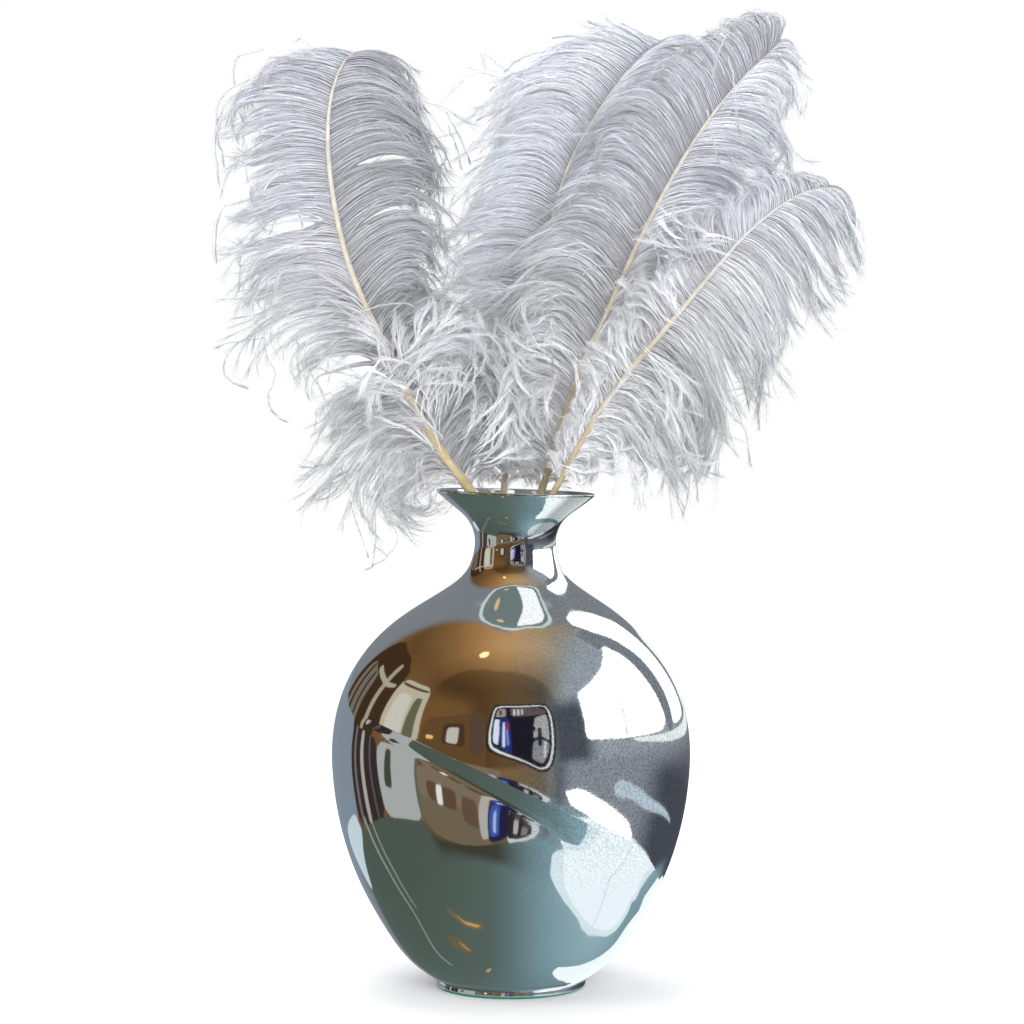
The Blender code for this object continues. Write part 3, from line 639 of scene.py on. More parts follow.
# ---- plumes
class Shaft:
    """centre line of a plume's shaft with a frame that doesn't twist: tangent, dorsal normal, side"""

    def __init__(self, points, radii):
        self.line = natural_spline(points, 600) * MM
        steps = np.linalg.norm(np.diff(self.line, axis=0), axis=1)
        self.along = np.concatenate([[0.0], np.cumsum(steps)])
        self.length = self.along[-1]
        self.tangent = unit(np.gradient(self.line, axis=0))
        self.normal = np.zeros_like(self.line)
        normal = TOWARDS_FRONT
        for i, tangent in enumerate(self.tangent):
            normal = square_to(normal, tangent)
            self.normal[i] = normal
        self.radii = np.array(radii, float) * MM

    def pick(self, table, distance):
        return np.stack([np.interp(distance, self.along, table[:, k]) for k in range(3)], axis=-1)

    def at(self, distance):
        tangent = unit(self.pick(self.tangent, distance))
        normal = square_to(self.pick(self.normal, distance), tangent)
        return self.pick(self.line, distance), normal, np.cross(tangent, normal)

    def radius(self, distance):
        return np.interp(distance, self.radii[:, 0], self.radii[:, 1])


class Vane:
    """one side's barbs: each arches from its root on the shaft over the halfway place to the tip"""

    def __init__(self, shaft, rows, sign):
        self.shaft = shaft
        self.rows = np.array(rows, float) * MM
        self.sign = sign

    def path(self, distance, t):
        """points (n, k, 3) of the barbs rooted at distance (n,) at shares t (n, k)"""
        root, _, _ = self.shaft.at(distance)
        columns = [np.interp(distance, self.rows[:, 0], self.rows[:, k])[:, None] for k in range(1, 6)]
        half_x, half_z, tip_x, tip_z, tip_y = columns
        half = 4 * t * (1 - t)
        reach = t * (2 * t - 1)
        x = half * half_x + reach * tip_x
        y = half * BARB_ARCH * tip_y + reach * tip_y
        z = half * half_z + reach * tip_z
        return root[:, None] + np.stack([x, y, z], axis=-1)

    def normals(self, distance, lines):
        """vane normals along the barbs, square to them, and the barbs' directions"""
        along = unit(np.gradient(lines, axis=1))
        _, normal, _ = self.shaft.at(distance)
        return square_to(np.broadcast_to(normal[:, None], along.shape), along), along


def make_quill(name, shaft):
    """the bare quill and the rachis: oval with a shallow groove along its back, knotty low down"""
    distance = np.linspace(0, shaft.length, QUILL_RINGS)
    centre, normal, side = shaft.at(distance)
    off_knot = np.mod(distance / MM, KNOT_SPACING) - KNOT_PLACE
    knots = KNOT_RISE * np.exp(-(off_knot / KNOT_LENGTH) ** 2) * (distance < KNOTS_END * MM)
    taper = np.clip(distance / (QUILL_END[0] * MM), QUILL_END[1], 1)
    taper = taper * np.clip((shaft.length - distance) / (QUILL_TIP[0] * MM), QUILL_TIP[1], 1)
    turns = 2 * math.pi * np.arange(QUILL_SIDES) / QUILL_SIDES
    groove = 1 - QUILL_GROOVE[0] * np.exp(-((turns - math.pi) / QUILL_GROOVE[1]) ** 2)
    r = shaft.radius(distance)[:, None] * groove * (1 + knots)[:, None] * taper[:, None]
    points = (centre[:, None] + (r * np.cos(turns))[..., None] * normal[:, None]
              + (QUILL_OVAL * r * np.sin(turns))[..., None] * side[:, None]).reshape(-1, 3)
    i = np.arange(QUILL_SIDES)
    j = (i + 1) % QUILL_SIDES
    top = (QUILL_RINGS - 1) * QUILL_SIDES
    low_end = np.stack([j, i, np.full(QUILL_SIDES, len(points))], axis=1)
    high_end = np.stack([top + i, top + j, np.full(QUILL_SIDES, len(points) + 1)], axis=1)
    share = np.repeat(distance / shaft.length, QUILL_SIDES)
    around = np.tile(turns / (2 * math.pi), QUILL_RINGS)
    uv = np.concatenate([np.stack([share, around], axis=1), [[0, 0], [1, 0]]])
    points = np.concatenate([points, centre[:1], centre[-1:]])
    ends = np.concatenate([low_end, high_end])
    return mesh_object(name, points, net_quads(QUILL_RINGS, QUILL_SIDES), ends, uv)


def curled(lines, normals, plane_turn, depth_turn):
    """turns each step of the strands by the given angles, in the vane's plane and out of it"""
    steps = np.diff(lines, axis=1)
    axis = unit(normals[:, :-1])
    steps = turned(steps, axis, plane_turn)
    side = unit(np.cross(axis, unit(steps)))
    steps = turned(steps, side, depth_turn)
    return np.concatenate([lines[:, :1], lines[:, :1] + np.cumsum(steps, axis=1)], axis=1)


def kept_near(points):
    """eases points that reach far past the solids' box back to it"""
    low, high = np.array(CAD_BOX)
    centre = 0.5 * (low + high)
    ease = BOX_EASE * MM
    free = 0.5 * (high - low) + np.array(BOX_SPARE) * (high - low) - ease
    away = points - centre
    over = np.abs(away) - free
    held = free + ease * np.tanh(np.maximum(over, 0) / ease)
    return centre + np.where(over > 0, np.sign(away) * held, away)


def tip_shade(share):
    return 1 - TIP_SHADE * smooth(*TIP_SHADED, share)


class Side:
    """one side's barbs: where they are rooted, how they gather in locks and strands, and how they curl"""

    def __init__(self, vane, span, gaps, rng):
        self.vane = vane
        self.rng = rng
        self.low, self.high = span[0] * MM, span[1] * MM
        self.count = BARBS + FLUFF
        self.fluff = np.arange(self.count) >= BARBS
        self.share = np.linspace(0, 1, BARB_STEPS)[None, :]
        self.make_locks()
        self.root(gaps)
        self.lock = np.clip(np.searchsorted(self.edges, self.distance) - 1, 0, LOCKS - 1)
        start, width = self.edges[self.lock], np.diff(self.edges)[self.lock]
        part = np.floor((self.distance - start) / width * STRANDS)
        self.strand = (self.lock * STRANDS + np.clip(part, 0, STRANDS - 1)).astype(int)
        self.strand_middle = start + (part + 0.5) / STRANDS * width
        self.along_vane = (self.distance - self.low) / (self.high - self.low)
        self.downy = smooth(DOWNY_ENDS, 0, self.along_vane)

    def make_locks(self):
        """where each lock begins and ends along the shaft, and what sets it apart"""
        rng = self.rng
        widths = rng.uniform(*LOCK_WIDTHS, LOCKS)
        shares = np.concatenate([[0.0], np.cumsum(widths) / widths.sum()])
        self.edges = self.low + (self.high - self.low) * shares
        self.lock_reach = rng.uniform(*LOCK_REACH, LOCKS)
        self.lock_lift = rng.uniform(*LOCK_LIFT, LOCKS) * MM
        self.lock_pull = rng.uniform(*LOCK_PULL, LOCKS)
        self.lock_swing = rng.normal(0, LOCK_SWING, LOCKS)
        hooked = rng.random(LOCKS) < HOOKED
        self.lock_hook = np.where(hooked, rng.uniform(*HOOKS, LOCKS), rng.uniform(*OTHER_HOOKS, LOCKS))
        self.lock_tone = rng.uniform(0, 1, LOCKS)

    def root(self, gaps):
        """how far along the shaft each barb is rooted, and the place beside a gap that it leans to"""
        rng, count = self.rng, self.count
        even = ((np.arange(count) + rng.uniform(0.1, 0.9, count)) / BARBS) ** CROWDING
        loose = FLUFF_SPAN * rng.random(count) ** FLUFF_CROWDING - FLUFF_BELOW
        self.distance = self.low + (self.high - self.low) * np.where(self.fluff, loose, even)
        self.aside = self.distance
        for start, end in gaps:
            inside = (self.distance > start * MM) & (self.distance < end * MM)
            inside = inside & (rng.random(count) < GAP_EMPTY)
            below = start - GAP_EDGE * rng.random(count)
            above = end + GAP_EDGE * rng.random(count)
            edge = np.where(self.distance < 0.5 * (start + end) * MM, below, above)
            self.aside = np.where(inside, edge * MM, self.aside)

    def laid(self):
        """centre lines that open at the gaps and draw together into strands and locks"""
        rng, count, share, path = self.rng, self.count, self.share, self.vane.path
        self.stray = rng.random(count) < STRAYS
        reach = self.lock_reach[self.lock] * (1 + rng.normal(0, REACH_SCATTER, count))
        reach = reach * np.where(self.stray, STRAY_REACH, 1)
        t = share * np.where(self.fluff, rng.uniform(*FLUFF_REACH, count), reach)[:, None]
        lines = path(self.distance, t)
        opening = smooth(*GAP_OPENS, share + 0.1 * rng.random(count)[:, None])[..., None]
        lines = lines + opening * (path(self.aside, t) - lines)
        hold = np.where(self.stray | self.fluff, STRAY_HOLD, rng.uniform(*STRAND_HOLD, count))[:, None]
        to_strand = smooth(*STRANDS_GATHER, share) * hold
        to_lock = smooth(*LOCKS_GATHER, share) * hold * self.lock_pull[self.lock][:, None]
        lines = lines + to_strand[..., None] * (path(self.strand_middle, t) - lines)
        lock_middle = 0.5 * (self.edges[:-1] + self.edges[1:])[self.lock]
        lines = lines + to_lock[..., None] * (path(lock_middle, t) - lines)
        normals, _ = self.vane.normals(self.distance, lines)
        lift = self.lock_lift[self.lock][:, None] * smooth(0.1, 1.0, share)
        lift = lift + rng.normal(0, LIFT_SCATTER, count)[:, None] * MM * share
        lift = lift + (self.fluff * rng.uniform(*FLUFF_RISE, count))[:, None] * MM * smooth(0, 0.5, share)
        root_height = self.vane.shaft.radius(self.distance) * rng.uniform(*ROOT_HEIGHT, count)
        lift = lift + root_height[:, None] * (1 - share)
        return lines + lift[..., None] * normals, normals

    def waved(self, lines, normals):
        """waves along the barbs, hooks at their ends, and a swing for each lock and stray barb"""
        rng, count, downy, fluff, stray = self.rng, self.count, self.downy, self.fluff, self.stray
        every_strand = LOCKS * STRANDS
        phase = rng.uniform(0, 2 * math.pi, (3, every_strand, 1))[:, self.strand]
        phase = phase + rng.normal(0, 0.6, (3, count, 1))
        middle = 0.5 * (self.share[:, 1:] + self.share[:, :-1])
        loose = (WAVE + DOWNY_WAVE * downy + STRAY_WAVE * stray + FLUFF_WAVE * fluff)[:, None]
        wave = (loose + END_WAVE * smooth(0.5, 0.9, middle)) * np.sin(WAVES[0] * middle + phase[0])
        wave = wave + loose * np.sin(WAVES[1] * middle + phase[1])
        end = np.clip((middle - HOOKS_BEGIN) / (1 - HOOKS_BEGIN), 0, 1) ** 2
        hook = self.lock_hook[self.lock] + rng.normal(0, HOOK_SCATTER[0], every_strand)[self.strand]
        hook = hook + rng.normal(0, HOOK_SCATTER[1], count)
        hook = hook + downy * rng.normal(0, HOOK_SCATTER[2], every_strand)[self.strand]
        plane = wave * smooth(0, 0.4, middle) - self.vane.sign * end * hook[:, None]
        swing = self.lock_swing[self.lock] + stray * rng.normal(0, STRAY_SWING, count)
        swing = swing + fluff * rng.normal(0, FLUFF_SWING, count)
        plane = plane + swing[:, None] * smooth(0.1, 0.8, middle)
        depth = 1.2 * loose * np.sin(WAVES[2] * middle + phase[2])
        depth = depth + end * rng.normal(*END_LIFT, count)[:, None]
        out = (stray | fluff) * rng.normal(0, OUT_SWING, count)
        depth = depth + out[:, None] * smooth(0.1, 0.7, middle)
        return kept_near(curled(lines, normals, plane, depth * smooth(0, 0.3, middle)))

    def toned(self, shades, relief):
        """each barb's own tone, from 0 to 1, and the painted light and shade of its place on the vane"""
        tones = np.clip(0.2 * self.lock_tone[self.lock] + 0.8 * self.rng.random(self.count), 0, 1)
        # painted light and shade: the vane is painted lighter or darker between its tip and its downy end
        shade = shades[0] + (shades[1] - shades[0]) * smooth(0.45, 0.05, self.along_vane)
        return tones, shade * (1 + relief * (tones - 0.5))


def barb_points(lines, which, share):
    """places (m, k, 3) on barbs which (m,) at shares (m, k), run on in a straight line past the tip"""
    steps = lines.shape[1] - 1
    place = np.maximum(share, 0) * steps
    i = np.clip(np.floor(place).astype(int), 0, steps - 1)
    f = (place - i)[..., None]
    return lines[which[:, None], i] * (1 - f) + lines[which[:, None], i + 1] * f


def add_beds(bundle, lines, normals, light, rng):
    """flat strands just behind the vane's barbs, a little shorter than them, that close the vane"""
    which = np.arange(len(lines))
    share = np.linspace(0, 1, BED_STEPS)[None, :]
    reach = BED_REACH * share * np.ones((len(lines), 1))
    normal = unit(barb_points(normals, which, reach))
    middle = barb_points(lines, which, reach) - BEDS_BEHIND * MM * normal
    across = unit(np.cross(unit(np.gradient(middle, axis=1)), normal))
    width = BED_WIDTH * MM * (1 - share**2) * rng.uniform(0.7, 1.3, (len(lines), 1))
    # painted shade, darkest at the shaft
    tone = BED_PAINTED_SHADE[0] + (BED_PAINTED_SHADE[1] - BED_PAINTED_SHADE[0]) * smooth(0.05, 0.8, share)
    bundle.ribbons(middle, across, width, tone * (light * rng.uniform(0.8, 1.2, len(lines)))[:, None])


def add_down(bundle, barbs, count, lengths, rng):
    """fine barbules that leave the barbs at a slant and run beside them"""
    length = np.linalg.norm(np.diff(barbs.lines, axis=1), axis=2).sum(axis=1)
    which = rng.choice(len(length), count, p=length / length.sum())
    start = 0.05 + 0.93 * rng.random(count) ** 0.85
    own = rng.uniform(*lengths, count) * MM
    share = np.linspace(0, 1, DOWN_STEPS)[None, :]
    at = start[:, None] + share * (own / length[which])[:, None]
    at = np.minimum(at, 1 + 0.05 * rng.random(count)[:, None])
    middle = barb_points(barbs.lines, which, at)
    normal = unit(barb_points(barbs.normals, which, np.minimum(at, 1)))
    ahead = unit(barb_points(barbs.along, which, np.minimum(at, 1)))
    side = np.cross(ahead, normal)
    turn = rng.uniform(0, 2 * math.pi, count)
    out = np.cos(turn)[:, None, None] * side + 0.9 * np.sin(turn)[:, None, None] * normal
    spread = np.minimum(own * rng.uniform(*DOWN_SLANT, count), DOWN_SPREAD * MM)
    spread = spread * (0.15 + 0.85 * smooth(0.05, 0.5, start))
    points = middle + out * (spread[:, None] * smooth(-0.2, 1.1, share))[..., None]
    points = kept_near(points + rng.normal(0, DOWN_SCATTER, points.shape) * MM * share[..., None])
    roll = rng.uniform(-1.2, 1.2, count)[:, None, None]
    facing = normal * np.cos(roll) + side * np.sin(roll)
    across = unit(np.cross(unit(np.gradient(points, axis=1)), facing))
    width = DOWN_WIDTH * MM * rng.uniform(0.6, 1.3, count)[:, None] * (1 - 0.7 * share)
    tone = np.clip(0.7 * barbs.tones[which] + 0.45 * rng.random(count) - 0.05, 0, 1)
    tone = barbs.shade[which] * (DARKEST + (1 - DARKEST) * tone) * tip_shade(start)
    bundle.ribbons(points, across, width, tone)


def add_vane(barbs, down, vane, span, spec, rng):
    """one side of a plume: its barbs, the flat ones beneath them and their down"""
    side = Side(vane, span, spec["gaps"], rng)
    laid, laid_normals = side.laid()
    lines = side.waved(laid, laid_normals)
    tones, shade = side.toned(spec["shades"], spec["relief"])
    grown = Strands(lines, *vane.normals(side.distance, lines), tones, shade)
    thick = BARB_THICK * MM * (1 - BARB_TAPER * side.share) * rng.uniform(0.75, 1.25, side.count)[:, None]
    tone = shade * (BARB_DARKEST + (1 - BARB_DARKEST) * tones)
    barbs.tubes(lines, thick, tone[:, None] * tip_shade(side.share))
    firm = ~side.fluff
    # painted light under the downy part, on top of the vane's painted light and shade
    light = (1 + BED_PAINTED_LIGHT * side.downy[firm]) * shade[firm]
    add_beds(barbs, laid[firm], laid_normals[firm], light, rng)
    add_down(down, grown, DOWN // 2, DOWN_LENGTH, rng)


def add_wisps(barbs, down, wisps, rng):
    """the single barbs of one plume that stand apart, with their down"""
    count = len(wisps)
    share = np.linspace(0, 1, BARB_STEPS)
    routes = [[(x, depth, z) for x, z in points] for depth, points in wisps]
    lines = np.stack([natural_spline(route, BARB_STEPS) for route in routes]) * MM
    lines = lines + rng.normal(0, WISP_SCATTER, lines.shape) * MM
    lines[..., 1] += rng.uniform(-WISP_LEAN, WISP_LEAN, (count, 1)) * MM * share
    lines = kept_near(lines)
    along = unit(np.gradient(lines, axis=1))
    normals = square_to(np.broadcast_to(TOWARDS_FRONT, lines.shape), along)
    # painted shade on the wisps
    tone = np.full(count, WISP_PAINTED_SHADE)
    barbs.tubes(lines, WISP_THICK * MM * (1 - WISP_TAPER * share[None, :]), tone)
    apart = Strands(lines, normals, along, rng.random(count), tone)
    add_down(down, apart, WISP_DOWN * count, WISP_DOWN_LENGTH, rng)


def add_tufts(barbs, down, tufts, rng):
    """the loose curly barbs of one plume, with their down"""
    share = np.linspace(0, 1, BARB_STEPS)[None, :]
    counts = [tuft[-1] for tuft in tufts]
    straight = []
    for depth, across, up, heading, length, count in tufts:
        turn = np.radians(heading + rng.normal(0, TUFT_HEADINGS, count))
        aim = np.stack([np.cos(turn), rng.normal(-0.1, 0.25, count), np.sin(turn)], axis=1)
        root = np.array([across, depth, up]) + rng.normal(0, TUFT_SPREAD, (count, 3)) * (1, 0.5, 1)
        own = length * rng.uniform(*TUFT_LENGTHS, (count, 1, 1))
        straight.append((root[:, None] + own * share[..., None] * aim[:, None]) * MM)
    straight = np.concatenate(straight)
    front = np.broadcast_to(TOWARDS_FRONT, straight.shape)
    middle = 0.5 * (share[:, 1:] + share[:, :-1])
    phase = rng.uniform(0, 2 * math.pi, (2, len(straight), 1))
    hook = np.concatenate([rng.choice([-1, 1]) * rng.uniform(*TUFT_HOOKS, count) for count in counts])
    plane, depth = [height * np.sin(turns * middle + own) for (height, turns), own in zip(TUFT_WAVES, phase)]
    lines = curled(straight, front, plane + hook[:, None] * middle**1.6, depth)
    along = unit(np.gradient(lines, axis=1))
    lines = kept_near(lines)
    tones = rng.random(len(lines))
    curly = Strands(lines, square_to(front, along), along, tones, rng.uniform(*TUFT_TONE, len(lines)))
    barbs.tubes(lines, TUFT_THICK * BARB_THICK * MM * (1 - BARB_TAPER * share), curly.shade)
    add_down(down, curly, TUFT_DOWN * len(lines), TUFT_DOWN_LENGTH, rng)


def make_plume(name, spec, seed, plume, quill):
    """one plume as three pieces: its quill, its barbs and its down"""
    rng = np.random.default_rng(seed)
    shaft = Shaft(spec["shaft"], spec["quill"])
    dress(make_quill(name + "_quill", shaft), name, "quill", quill)
    barbs = Bundle()
    down = Bundle()
    for side, sign in (("left", -1), ("right", 1)):
        add_vane(barbs, down, Vane(shaft, spec[side]["rows"], sign), spec["vane"], spec[side], rng)
    add_wisps(barbs, down, spec["wisps"], rng)
    if spec["tufts"]:
        add_tufts(barbs, down, spec["tufts"], rng)
    for bundle, part in ((barbs, "_barbs"), (down, "_down")):
        dress(bundle.build(name + part), name, "plume", plume)


# ---- materials
WARM_WHITE = (0.95, 0.95, 0.95, 1)
# painted light: the white is made cooler high up, standing in for blue light from above
SKYLIT_WHITE = (0.90, 0.92, 0.98, 1)
SKYLIGHT_HEIGHTS = (0.34, 0.52)  # heights over which the painted cool light from above comes in
HORN = [(0.42, (0.50, 0.395, 0.21, 1)), (0.85, (0.53, 0.50, 0.45, 1))]  # share along the shaft, colour
SILVERING = (0.80, 0.82, 0.82)
GLASS_EDGE = (0.02, 0.22, 0.17, 1)
GLASS_SHOWS = (0.0012, 0.0022)  # heights between which clear glass gives way to silvering
PEBBLES = 980.0  # in a metre
PEBBLE_STRENGTH = 0.03
PEBBLE_HEIGHT = 0.0003
PEBBLED_ACROSS = (-0.015, 0.055)
PEBBLED_UP = (0.060, 0.105)
MOUTH_BEGINS = (0.258, 0.264)
MOUTH_RIGHT = (-0.260, -0.255)  # across less height
MOUTH_RIGHT_PAINTED_SHADE = 0.58  # how much darker the right side of the mouth is painted, as painted shade
DARK_GREYS = [(0.10, 0.10, 0.095, 1), (0.17, 0.16, 0.15, 1)]


def new_material(name):
    material = bpy.data.materials.new(name)
    material.use_nodes = True
    return material, material.node_tree


def feed(tree, socket, value):
    """gives an input another node's output or a plain value"""
    if isinstance(value, bpy.types.NodeSocket):
        tree.links.new(value, socket)
    else:
        socket.default_value = value


def feed_shader(tree, **values):
    for name, value in values.items():
        feed(tree, tree.nodes["Principled BSDF"].inputs[name.replace("_", " ")], value)


def coordinates(tree):
    return tree.nodes.new("ShaderNodeTexCoord").outputs


def split(tree, vector):
    node = tree.nodes.new("ShaderNodeSeparateXYZ")
    feed(tree, node.inputs[0], vector)
    return node.outputs


def noise(tree, place, scale, detail):
    node = tree.nodes.new("ShaderNodeTexNoise")
    for name, value in (("Vector", place), ("Scale", scale), ("Detail", detail)):
        feed(tree, node.inputs[name], value)
    return node.outputs["Fac"]


def calculated(tree, operation, *values, clamp=False):
    node = tree.nodes.new("ShaderNodeMath")
    node.operation = operation
    node.use_clamp = clamp
    for socket, value in zip(node.inputs, values):
        feed(tree, socket, value)
    return node.outputs["Value"]


def ranged(tree, value, low, high, to_low=0.0, to_high=1.0, easing="LINEAR"):
    """a value carried from low and high to two others"""
    node = tree.nodes.new("ShaderNodeMapRange")
    node.interpolation_type = easing
    for socket, item in zip(node.inputs, (value, low, high, to_low, to_high)):
        feed(tree, socket, item)
    return node.outputs["Result"]


def scaled(tree, colour, factor):
    node = tree.nodes.new("ShaderNodeVectorMath")
    node.operation = "SCALE"
    feed(tree, node.inputs[0], colour)
    feed(tree, node.inputs["Scale"], factor)
    return node.outputs["Vector"]


def blended(tree, share, first, second):
    node = tree.nodes.new("ShaderNodeMix")
    node.data_type = "RGBA"
    for name, value in (("Factor", share), ("A", first), ("B", second)):
        feed(tree, node.inputs[name], value)
    return node.outputs["Result"]


def plume_material():
    """white barbs: each strand has its own tone; painted light makes them cooler high up than low down"""
    material, tree = new_material("plume")
    place = coordinates(tree)
    height = ranged(tree, split(tree, place["Object"])["Z"], *SKYLIGHT_HEIGHTS, -0.25, 0.75)
    skylight = calculated(tree, "ADD", height, noise(tree, place["Object"], 18.0, 3.0), clamp=True)
    tone = split(tree, place["UV"])["Y"]
    colour = scaled(tree, blended(tree, skylight, WARM_WHITE, SKYLIT_WHITE), tone)
    feed_shader(tree, Base_Color=colour, Roughness=0.62, Specular_IOR_Level=0.25)
    return material


def quill_material():
    """golden horn at the bare end, paler towards the tip, mottled along its length"""
    material, tree = new_material("quill")
    place = coordinates(tree)
    ramp = tree.nodes.new("ShaderNodeValToRGB")
    for stop, (share, colour) in zip(ramp.color_ramp.elements, HORN):
        stop.position = share
        stop.color = colour
    feed(tree, ramp.inputs["Fac"], split(tree, place["UV"])["X"])
    mottle = ranged(tree, noise(tree, place["Object"], 140.0, 4.0), 0.3, 0.7, 0.78, 1.08)
    feed_shader(tree, Base_Color=scaled(tree, ramp.outputs["Color"], mottle), Roughness=0.38)
    return material


def silvered_glass():
    """bright silvering behind glass: pebbled on the right, painted darker on the right of the mouth as
    painted shade, clear sea-green glass at the very foot
    """
    material, tree = new_material("silvered_glass")
    place = coordinates(tree)["Object"]
    where = split(tree, place)
    pebble = noise(tree, place, PEBBLES, 1.0)
    rightward = ranged(tree, where["X"], *PEBBLED_ACROSS, 0.05, 1.0)
    upward = ranged(tree, where["Z"], *PEBBLED_UP, 0.12, 1.0)
    pebbled = calculated(tree, "MULTIPLY", rightward, upward)
    bump = tree.nodes.new("ShaderNodeBump")
    bump.inputs["Strength"].default_value = PEBBLE_STRENGTH
    bump.inputs["Distance"].default_value = PEBBLE_HEIGHT
    feed(tree, bump.inputs["Height"], calculated(tree, "MULTIPLY", pebble, pebbled))
    grain = ranged(tree, pebble, 0.35, 0.65, -0.3, 0.3)
    speckle = calculated(tree, "MULTIPLY_ADD", grain, pebbled, 1.0)
    # painted shade: the silvering is darkened on the right side of the mouth
    slanting = calculated(tree, "SUBTRACT", where["X"], where["Z"])
    off_left = ranged(tree, slanting, *MOUTH_RIGHT)
    mouth = ranged(tree, where["Z"], *MOUTH_BEGINS, 0.0, MOUTH_RIGHT_PAINTED_SHADE)
    bright = calculated(tree, "SUBTRACT", 1.0, calculated(tree, "MULTIPLY", off_left, mouth))
    silver = scaled(tree, scaled(tree, SILVERING, speckle), bright)
    metal = ranged(tree, where["Z"], *GLASS_SHOWS)
    glass = ranged(tree, where["Z"], *GLASS_SHOWS, 1.0, 0.0)
    feed_shader(tree, Base_Color=blended(tree, glass, silver, GLASS_EDGE), Metallic=metal, Roughness=0.05,
                Normal=bump.outputs["Normal"])
    return material


def vase_inside():
    """the back of the silvering: dull dark grey, a little uneven"""
    material, tree = new_material("vase_inside")
    cloud = noise(tree, coordinates(tree)["Object"], 60.0, 2.0)
    feed_shader(tree, Base_Color=blended(tree, cloud, *DARK_GREYS), Metallic=0.6, Roughness=0.42)
    return material


# ---- studio, in metres
FLOOR_SIZE = 6.0
FLOOR_GLOW = 0.42
GLOW_RISES = (0.05, 0.42)  # distances from the vase's foot over which the floor's glow grows out of its painted shadow
PAINTED_SHADOW_GLOW = 0.25
SKY = (0.80, 0.81, 0.84, 1)
BACKDROP = (1.0, 1.0, 1.0, 1)
CAMERA_PLACE = (0.0006, -1.8, 0.348)
CAMERA_DIP = 2.17  # degrees below level
PHOTO_WIDTH = 1024
FOCAL_LENGTH = 3066  # in the photograph's pixels
SENSOR = 36
LIGHTS = [  # name, place, what it points at, size, power, colour
    ("key", (-1.2, -0.8, 1.4), (0, 0, 0.35), (0.9, 0.9), 8, (1, 1, 1)),
    ("top", (-0.2, 0.5, 1.9), (0, 0, 0.3), (1.2, 1.2), 14, (0.93, 0.96, 1.0)),
    ("front", (0.5, -2.2, 0.9), (0, 0, 0.4), (1.4, 1.0), 36, (1, 1, 1)),
]


def linear(red, green, blue, strength=1.0):
    """scene colour for a screen colour of 0 to 255"""
    c = np.array([red, green, blue], float) / 255
    return strength * np.where(c <= 0.04045, c / 12.92, ((c + 0.055) / 1.055) ** 2.4)


def make_floor():
    """a pale floor with a faint glow, less near the vase's foot, which paints a soft shadow there"""
    corners = FLOOR_SIZE * np.array([(-1, -1, 0), (1, -1, 0), (1, 1, 0), (-1, 1, 0)])
    floor = mesh_object("studio_floor", corners, [(0, 1, 2, 3)])
    material, tree = new_material("studio_floor")
    away = tree.nodes.new("ShaderNodeVectorMath")
    away.operation = "LENGTH"
    feed(tree, away.inputs[0], coordinates(tree)["Object"])
    # painted shadow: the glow is least near the vase's foot
    glow_with_painted_shadow = ranged(tree, away.outputs["Value"], *GLOW_RISES, PAINTED_SHADOW_GLOW, 1.0, "SMOOTHSTEP")
    feed_shader(tree, Base_Color=(0.9, 0.9, 0.9, 1), Roughness=0.8, Specular_IOR_Level=0.0,
                Emission_Color=glow_with_painted_shadow, Emission_Strength=FLOOR_GLOW)
    floor.data.materials.append(material)
    floor.visible_glossy = False


def make_light(name, place, target, size, power, colour):
    lamp = bpy.data.lights.new(name, "AREA")
    lamp.shape = "RECTANGLE"
    lamp.size, lamp.size_y = size
    lamp.energy = power
    lamp.color = colour
    item = bpy.data.objects.new(name, lamp)
    item.location = place
    item.rotation_euler = (Vector(target) - Vector(place)).to_track_quat("-Z", "Y").to_euler()
    item.visible_glossy = False
    bpy.context.scene.collection.objects.link(item)


def make_world():
    """soft even light; the backdrop itself is seen as plain white"""
    world = bpy.data.worlds.new("studio")
    world.use_nodes = True
    tree = world.node_tree
    path = tree.nodes.new("ShaderNodeLightPath")
    feed(tree, tree.nodes["Background"].inputs["Color"],
         blended(tree, path.outputs["Is Camera Ray"], SKY, BACKDROP))
    bpy.context.scene.world = world


def make_camera():
    camera = bpy.data.cameras.new("camera")
    camera.sensor_width = SENSOR
    camera.lens = SENSOR * FOCAL_LENGTH / PHOTO_WIDTH
    item = bpy.data.objects.new("camera", camera)
    item.location = CAMERA_PLACE
    item.rotation_euler = (math.radians(90 - CAMERA_DIP), 0, 0)
    bpy.context.scene.collection.objects.link(item)
    bpy.context.scene.camera = item
    bpy.context.scene.view_settings.view_transform = "Standard"


# ---- the room that only the silvering sees
# directions are in degrees: turn 0 is towards the camera and 90 to the right, lift 90 is straight up;
# across is how far right a direction points and forward how far towards the camera, from -1 to 1
ROOM_CENTRE = np.array([0.0, 0.0, 0.14])
ROOM_RADIUS = 4.0
ROOM_COLUMNS = 181
ROOM_ROWS = 91
CARDS_INSIDE = 0.1  # how far the lowest card stands inside the dome
CARD_GAP = 0.004  # between a card and the next
CARD_GRID = 2.2  # degrees between the points of a card
CORNER_CUT = 0.13  # of a side, twice
CEILING = [  # across, colour
    (-0.62, (108, 78, 46)), (-0.4, (138, 102, 63)), (-0.25, (164, 122, 75)), (-0.08, (182, 142, 94)),
    (0.08, (180, 146, 108)), (0.25, (164, 144, 118)), (0.36, (150, 142, 129)), (0.45, (142, 145, 146)),
    (0.55, (144, 152, 160))]
# how the ceiling darkens towards the wall in front: forward, share of its light
CEILING_FADES = [(-0.5, 0.78), (-0.25, 0.92), (0.1, 1.0), (0.23, 0.93), (0.35, 0.85), (0.45, 0.77),
                 (0.54, 0.70), (0.65, 0.64)]
FADE_POWER = 2.1
FADE_ENDS = (0.28, 0.55)  # across
WALL_AHEAD = 0.79  # light of the wall straight ahead, against the ceiling
WALL_MIDDLE = (-15, 30)  # turn and lift
WALL_REACH = (50, 33)
WALL_EDGE = (1.07, 0.93)
